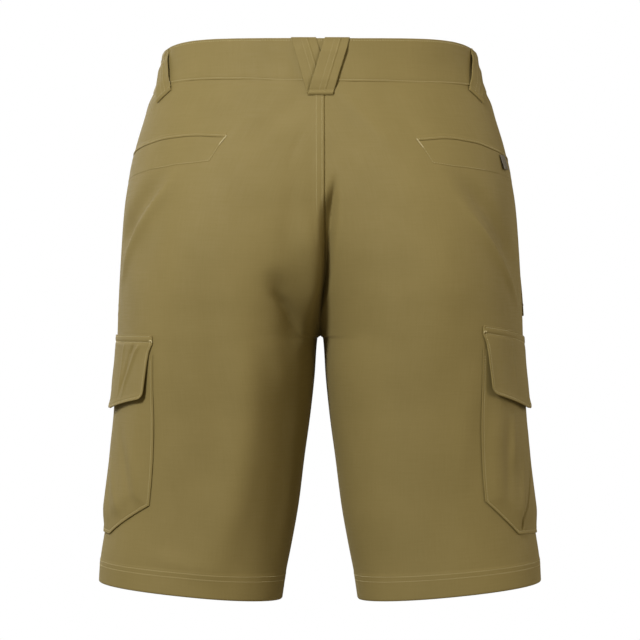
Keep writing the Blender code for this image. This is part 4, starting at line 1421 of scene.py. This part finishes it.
# The rows of stitches sink in, and one long edge is folded over the other with a small step down
LOOP_ROWS = (-2.6, 2.4)
LOOP_ROW_DEPTH = 0.12
LOOP_LAP = 4.0
LOOP_LAP_HALF_WIDTH = 0.3
LOOP_LAP_DEPTH = 0.6
LOOP_STITCH = {"pitch": 2.3, "length": 1.0, "width": 0.45}

# The tucked-in end swells at the foot, with a groove above it: height, distance off the foot, and width
FOOT_SWELL = (0.9, 2.0, 1.1)
FOOT_PRESSED = (0.7, 4.0, 0.5)

# Where two straps cross, the upper one rises between these levels, and the lower one dips beside it
CROSSING_LEVELS = (19, 7)
DIP_UNDER = 1.3


def strap_line(down, top, bottom, extra, stands):
    """The level and the lift of a loop's inner face, from the share down it."""
    level = between(top, bottom, down)
    from_end = np.minimum(BAND_TOP - level, level - bottom)
    stand = stands * soft_step(from_end, LOOP_SEWN - 4, LOOP_SEWN + 6)
    on_band = BAND_OUT * soft_step(level, WAIST_SEAM - 6, WAIST_SEAM - 1)
    over = extra * soft_step(level, *CROSSING_LEVELS) * between(0.1, 1, soft_step(level, bottom, bottom + 9))
    return level, LOOP_SEWN_ON + on_band + stand + over


def make_strap(node, middle_run, width, bottom, top=LOOP_TOP, slants=(0.0, 0.0), extra=0.0,
               stands=LOOP_STANDS, crossed_by=None):
    """A belt loop, and its rows of stitches. Middle run gives the run of its middle from the share down it,
    and slants are how far its top and bottom edges fall away from the centre back. Where another strap
    crosses it, it dips below that strap's edge."""
    length = BAND_TOP - bottom
    edges = spread(width, 1.6)
    lap_lines = width / 2 - LOOP_LAP + np.array([-0.8, -0.3, 0.1, 0.5])
    kept = np.abs(edges - width / 2 + LOOP_LAP) > 1.2
    across = np.sort(np.concatenate([edges[kept], lap_lines]))[None] / width - 0.5
    down = (spread(length, 1.8) / length)[:, None]
    across, down = np.broadcast_arrays(across, down)

    def place(across, down, lift):
        level, inner = strap_line(down, top, bottom, extra, stands)
        middle = middle_run(down, level)
        outer = np.where(middle > 0, 0.5 + across, 0.5 - across)
        return middle + across * width, level - between(*slants, down) * outer, inner + lift

    from_foot = (1 - down) * length
    from_edge = least((0.5 - np.abs(across)) * width, down * length, from_foot)
    relief = -LOOP_LAP_DEPTH * soft_step(across * width, LOOP_LAP_HALF_WIDTH - LOOP_LAP,
                                         -LOOP_LAP_HALF_WIDTH - LOOP_LAP)
    for row in LOOP_ROWS:
        relief = relief - LOOP_ROW_DEPTH * hump(across * width - row, 0.6)
    swell, swell_at, swell_width = FOOT_SWELL
    pressed, pressed_at, pressed_width = FOOT_PRESSED
    relief = relief * soft_step(from_foot, 3, 5) + swell * hump(from_foot - swell_at, swell_width)
    relief = relief - pressed * hump(from_foot - pressed_at, pressed_width)
    run, level, lift = place(across, down, LOOP_THICK / 2)
    if crossed_by:
        past_edge = run - crossed_by(down, level) - width / 2
        relief = relief - DIP_UNDER * soft_step(past_edge, 1.5, -0.1)
    half = nose(from_edge, LOOP_THICK)
    piece = cloth_piece(node, round_waist, run, level, lift - half, lift + half + relief)
    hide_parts(node)

    rows = []
    line = np.linspace(0.03, 0.93, 40)
    for row in LOOP_ROWS:
        places, outs = round_waist(*place(row / width + 0 * line, line, LOOP_THICK - 0.2))
        rows.append(stitches(places, outs, **LOOP_STITCH))
    return rows


def back_loop_middle(sign):
    def middle_run(down, level):
        middle = between(*BACK_LOOP_MIDDLE, soft_step(level, *BACK_LOOP_MIDDLE_MOVES))
        return middle + sign * between(BACK_LOOP_SPREAD, 0, down)
    return middle_run


def side_loop_middle(sign):
    return lambda down, level: sign * between(*SIDE_LOOP_RUNS, down)


def front_loop_middle(sign):
    return lambda down, level: sign * (girth(level) + girth(level, False) - FRONT_LOOP_OFF_CENTRE)


loop_rows = make_strap("back_loop_left_strap", back_loop_middle(1), BACK_LOOP_WIDTH, BACK_LOOP_BOTTOM,
                       stands=BACK_LOOP_STANDS, crossed_by=back_loop_middle(-1))
loop_rows += make_strap("back_loop_right_strap", back_loop_middle(-1), BACK_LOOP_WIDTH, BACK_LOOP_BOTTOM,
                        stands=BACK_LOOP_STANDS, extra=LOOP_THICK + 0.1)
for each_side, sign in SIDES.items():
    loop_rows += make_strap(f"side_loop_{each_side}", side_loop_middle(sign), LOOP_WIDTH, SIDE_LOOP_BOTTOM,
                            top=SIDE_LOOP_TOP, slants=SIDE_LOOP_SLANTS)
    loop_rows += make_strap(f"front_loop_{each_side}", front_loop_middle(sign), LOOP_WIDTH, LOOP_BOTTOM)
sewn("belt_loop_stitching", loop_rows)


# ---------------------------------------------------------------------------------------------------------
# Waist button: a polyester button turned from one blank, with a raised rim, a dished middle and four holes.
# It is sewn through the band's inner end, and passes through a stitched buttonhole in the outer end.
# ---------------------------------------------------------------------------------------------------------
BUTTON_RADIUS = 8.5
BUTTON_THICK = 3.0
BUTTON_PAST_CENTRE = 4.0
BUTTON_RIM = 1.9
BUTTON_DISH = 0.9
BUTTON_SOFTENED = 0.35
HOLE_RADIUS = 0.9
HOLE_OFF_CENTRE = 1.7
BUTTON_BROWNS = ("#5a4e34", "#4a402a")
BUTTON_GLOSS_ROUGHNESS = 0.32
CLOUDS_A_METRE = 300.0
THREAD_LIFT = 0.2
THREAD_OFF_HOLE = 0.35
BUTTON_THREAD = {"pitch": 3.4, "length": 4.4, "width": 0.7}
BUTTONHOLE_REACH = 17.0
BUTTONHOLE_PAST_BUTTON = 1.5
BUTTONHOLE_HALF_GAP = 1.1
BUTTONHOLE_HALF_END = 2.0
BUTTONHOLE_ZIGZAG_WIDTH = 1.7
BUTTONHOLE_PITCH = 0.45


def button_material():
    """Brown polyester with a faint cloud in it, smooth from tumbling."""
    made, tree, shader = new_material("brown_polyester_button")
    place = add(tree, "ShaderNodeTexCoord")
    cloud = add(tree, "ShaderNodeTexNoise",
                {"Vector": place.outputs["Object"], "Scale": CLOUDS_A_METRE, "Detail": 4.0})
    tone = add(tree, "ShaderNodeMix", {"Factor": cloud.outputs[0]}, data_type="RGBA")
    for socket, brown in zip("AB", BUTTON_BROWNS):
        tone.inputs[socket].default_value = srgb(brown)
    tree.links.new(tone.outputs["Result"], shader.inputs["Base Color"])
    shader.inputs["Roughness"].default_value = BUTTON_GLOSS_ROUGHNESS
    return made


def make_button():
    """The button. Gives the thread through its four holes."""
    bpy.ops.object.select_all(action="DESELECT")
    bpy.ops.mesh.primitive_cylinder_add(vertices=72, radius=BUTTON_RADIUS * MM, depth=BUTTON_THICK * MM)
    button = bpy.context.object
    button.name = "waist_button_turned"
    for face in button.data.polygons:
        face.select = face.normal.z > 0.9
    bpy.ops.object.mode_set(mode="EDIT")
    bpy.ops.mesh.select_mode(type="FACE")
    bpy.ops.mesh.inset(thickness=BUTTON_RIM * MM)
    bpy.ops.transform.translate(value=(0, 0, -BUTTON_DISH * MM))
    bpy.ops.object.mode_set(mode="OBJECT")
    soft = button.modifiers.new("softened", "BEVEL")
    soft.width = BUTTON_SOFTENED * MM
    soft.segments = 4
    soft.angle_limit = math.radians(25)
    bpy.ops.object.modifier_apply(modifier="softened")
    for x, y in ((1, 1), (1, -1), (-1, 1), (-1, -1)):
        bpy.ops.mesh.primitive_cylinder_add(
            vertices=24, radius=HOLE_RADIUS * MM, depth=3 * BUTTON_THICK * MM,
            location=(x * HOLE_OFF_CENTRE * MM, y * HOLE_OFF_CENTRE * MM, 0),
        )
        drill = bpy.context.object
        bpy.context.view_layer.objects.active = button
        hole = button.modifiers.new("hole", "BOOLEAN")
        hole.operation = "DIFFERENCE"
        hole.object = drill
        bpy.ops.object.modifier_apply(modifier="hole")
        bpy.data.objects.remove(drill)
    bpy.ops.object.select_all(action="DESELECT")
    button.select_set(True)
    bpy.context.view_layer.objects.active = button
    bpy.ops.object.shade_smooth_by_angle(angle=math.radians(28))
    button.data.materials.append(button_material())

    seat, out = round_waist(half_waist + BUTTON_PAST_CENTRE, 0, 2 * BAND_OUT + BAND_IN + 2 * SEWN_ON)
    side = np.cross((0, 0, 1), out)
    side /= np.linalg.norm(side)
    turned = np.stack([side, np.cross(out, side), out], axis=1)

    def on_button(points):
        return np.asarray(points, float) @ turned.T + seat + out * (BUTTON_THICK / 2 * MM)

    places = np.zeros(len(button.data.vertices) * 3)
    button.data.vertices.foreach_get("co", places)
    button.data.vertices.foreach_set("co", on_button(places.reshape(-1, 3)).ravel())
    button.data.update()
    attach(button, "root")
    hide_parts("waist_button")

    rows = []
    face_level = (BUTTON_THICK / 2 - BUTTON_DISH + THREAD_LIFT) * MM
    for y in (-1, 1):
        for off in (-THREAD_OFF_HOLE, THREAD_OFF_HOLE):
            aside = (y * HOLE_OFF_CENTRE + off) * MM
            ends = on_button([(x * HOLE_OFF_CENTRE * MM, aside, face_level) for x in (-1, 1)])
            rows.append(stitches(ends, np.stack([out, out]), **BUTTON_THREAD))
    return rows


def make_buttonhole():
    """Close zigzag stitches down both sides of the slit, and a bar across its outer end."""
    start = half_waist + BUTTON_PAST_CENTRE + BUTTONHOLE_PAST_BUTTON
    slit = start - np.linspace(0, BUTTONHOLE_REACH, 30)
    lift = 2 * BAND_OUT + BAND_IN + SEWN_ON + STITCH_SITS
    lines = [round_waist(slit, off, lift) for off in (-BUTTONHOLE_HALF_GAP, BUTTONHOLE_HALF_GAP)]
    bar = np.linspace(-BUTTONHOLE_HALF_END, BUTTONHOLE_HALF_END, 6)
    lines.append(round_waist(slit[-1] - 0.4, bar, lift))
    return [cross_stitches(*line, BUTTONHOLE_ZIGZAG_WIDTH, pitch=BUTTONHOLE_PITCH) for line in lines]


sewn("waist_button_thread", make_button() + make_buttonhole())


# ---------------------------------------------------------------------------------------------------------
# Studio: a white floor and backdrop in one round sweep, a key light of 0.6 m square above the wearer's left,
# weaker and larger soft lights all round, and the camera behind the shorts, at half their height.
# ---------------------------------------------------------------------------------------------------------
CAMERA_DISTANCE_M = 2.9
CAMERA_HEIGHT_M = -0.244
SENSOR_MM = 36.0
PIXELS_A_METRE = 1000
IMAGE_PIXELS = 640
CLIP_END_M = 60
FLOOR_HEIGHT_M = -1.0
FLOOR_RADIUS_M = 5.5
SWEEP_RADIUS_M = 3.5
SWEEP_STEPS = 12
BACKDROP_HEIGHT_M = 14.0
STUDIO_SIDES = 96
STUDIO_WHITE = "#ffffff"
FILL_WARM_WHITE = "#fff5e0"
WORLD_WARM_WHITE = "#fff0cf"
WORLD_STRENGTH = 0.23

camera = bpy.data.objects.new("camera", bpy.data.cameras.new("camera"))
bpy.context.scene.collection.objects.link(camera)
camera.location = (0, CAMERA_DISTANCE_M, CAMERA_HEIGHT_M)
camera.rotation_euler = (math.pi / 2, 0, math.pi)
camera.data.sensor_width = SENSOR_MM
camera.data.lens = SENSOR_MM * CAMERA_DISTANCE_M * PIXELS_A_METRE / IMAGE_PIXELS
camera.data.clip_end = CLIP_END_M
bpy.context.scene.camera = camera


def make_studio():
    """The floor and its sweep up to the backdrop, as a bowl turned about Z."""
    profile = []
    for step in range(SWEEP_STEPS + 1):
        turn = math.pi / 2 * step / SWEEP_STEPS
        radius = FLOOR_RADIUS_M + SWEEP_RADIUS_M * math.sin(turn)
        profile.append((radius, SWEEP_RADIUS_M * (1 - math.cos(turn))))
    profile.append((FLOOR_RADIUS_M + SWEEP_RADIUS_M, BACKDROP_HEIGHT_M))
    points = []
    for radius, height in profile:
        for i in range(STUDIO_SIDES):
            turn = 2 * math.pi * i / STUDIO_SIDES
            points.append((radius * math.cos(turn), radius * math.sin(turn), FLOOR_HEIGHT_M + height))
    faces = [list(range(STUDIO_SIDES))]
    for ring in range(len(profile) - 1):
        first = ring * STUDIO_SIDES
        above = first + STUDIO_SIDES
        for i in range(STUDIO_SIDES):
            j = (i + 1) % STUDIO_SIDES
            faces.append((first + i, above + i, above + j, first + j))
    mesh = bpy.data.meshes.new("studio_floor")
    mesh.from_pydata(points, [], faces)
    mesh.shade_smooth()
    studio = bpy.data.objects.new("studio_floor", mesh)
    bpy.context.scene.collection.objects.link(studio)
    made, _, shader = new_material("studio_white")
    shader.inputs["Base Color"].default_value = (0, 0, 0, 1)
    shader.inputs["Specular IOR Level"].default_value = 0
    shader.inputs["Emission Color"].default_value = srgb(STUDIO_WHITE)
    shader.inputs["Emission Strength"].default_value = 1.0
    mesh.materials.append(made)
    studio.visible_diffuse = False
    studio.visible_glossy = False
    studio.visible_shadow = False


def soft_light(name, azimuth, elevation, distance, size, power, colour=STUDIO_WHITE):
    """A square soft light aimed at the middle of the shorts. Azimuth is from the camera, to its left."""
    lamp = bpy.data.lights.new(name, "AREA")
    lamp.color = srgb(colour)[:3]
    lamp.shape = "SQUARE"
    lamp.size = size
    lamp.energy = power
    light = bpy.data.objects.new(name, lamp)
    bpy.context.scene.collection.objects.link(light)
    turn, rise = math.radians(azimuth), math.radians(elevation)
    off = np.array([math.sin(turn) * math.cos(rise), math.cos(turn) * math.cos(rise), math.sin(rise)])
    light.location = off * distance + np.array([0, 0, CAMERA_HEIGHT_M])
    light.rotation_euler = (math.pi / 2 - rise, 0, math.pi - turn)
    light.visible_camera = False


make_studio()
soft_light("key", 27, 30, 3.0, 0.6, 72)
soft_light("left_rim", 118, 10, 3.2, 1.6, 18)
soft_light("right_rim", -118, 10, 3.2, 1.6, 9)
soft_light("fill", -72, 12, 3.2, 1.6, 26, FILL_WARM_WHITE)
soft_light("front_fill", 160, 25, 3.4, 2.4, 50)

world = bpy.data.worlds.new("studio_world")
world.use_nodes = True
background = world.node_tree.nodes["Background"]
background.inputs["Color"].default_value = srgb(WORLD_WARM_WHITE)
background.inputs["Strength"].default_value = WORLD_STRENGTH
bpy.context.scene.world = world
bpy.context.scene.view_settings.view_transform = "Standard"
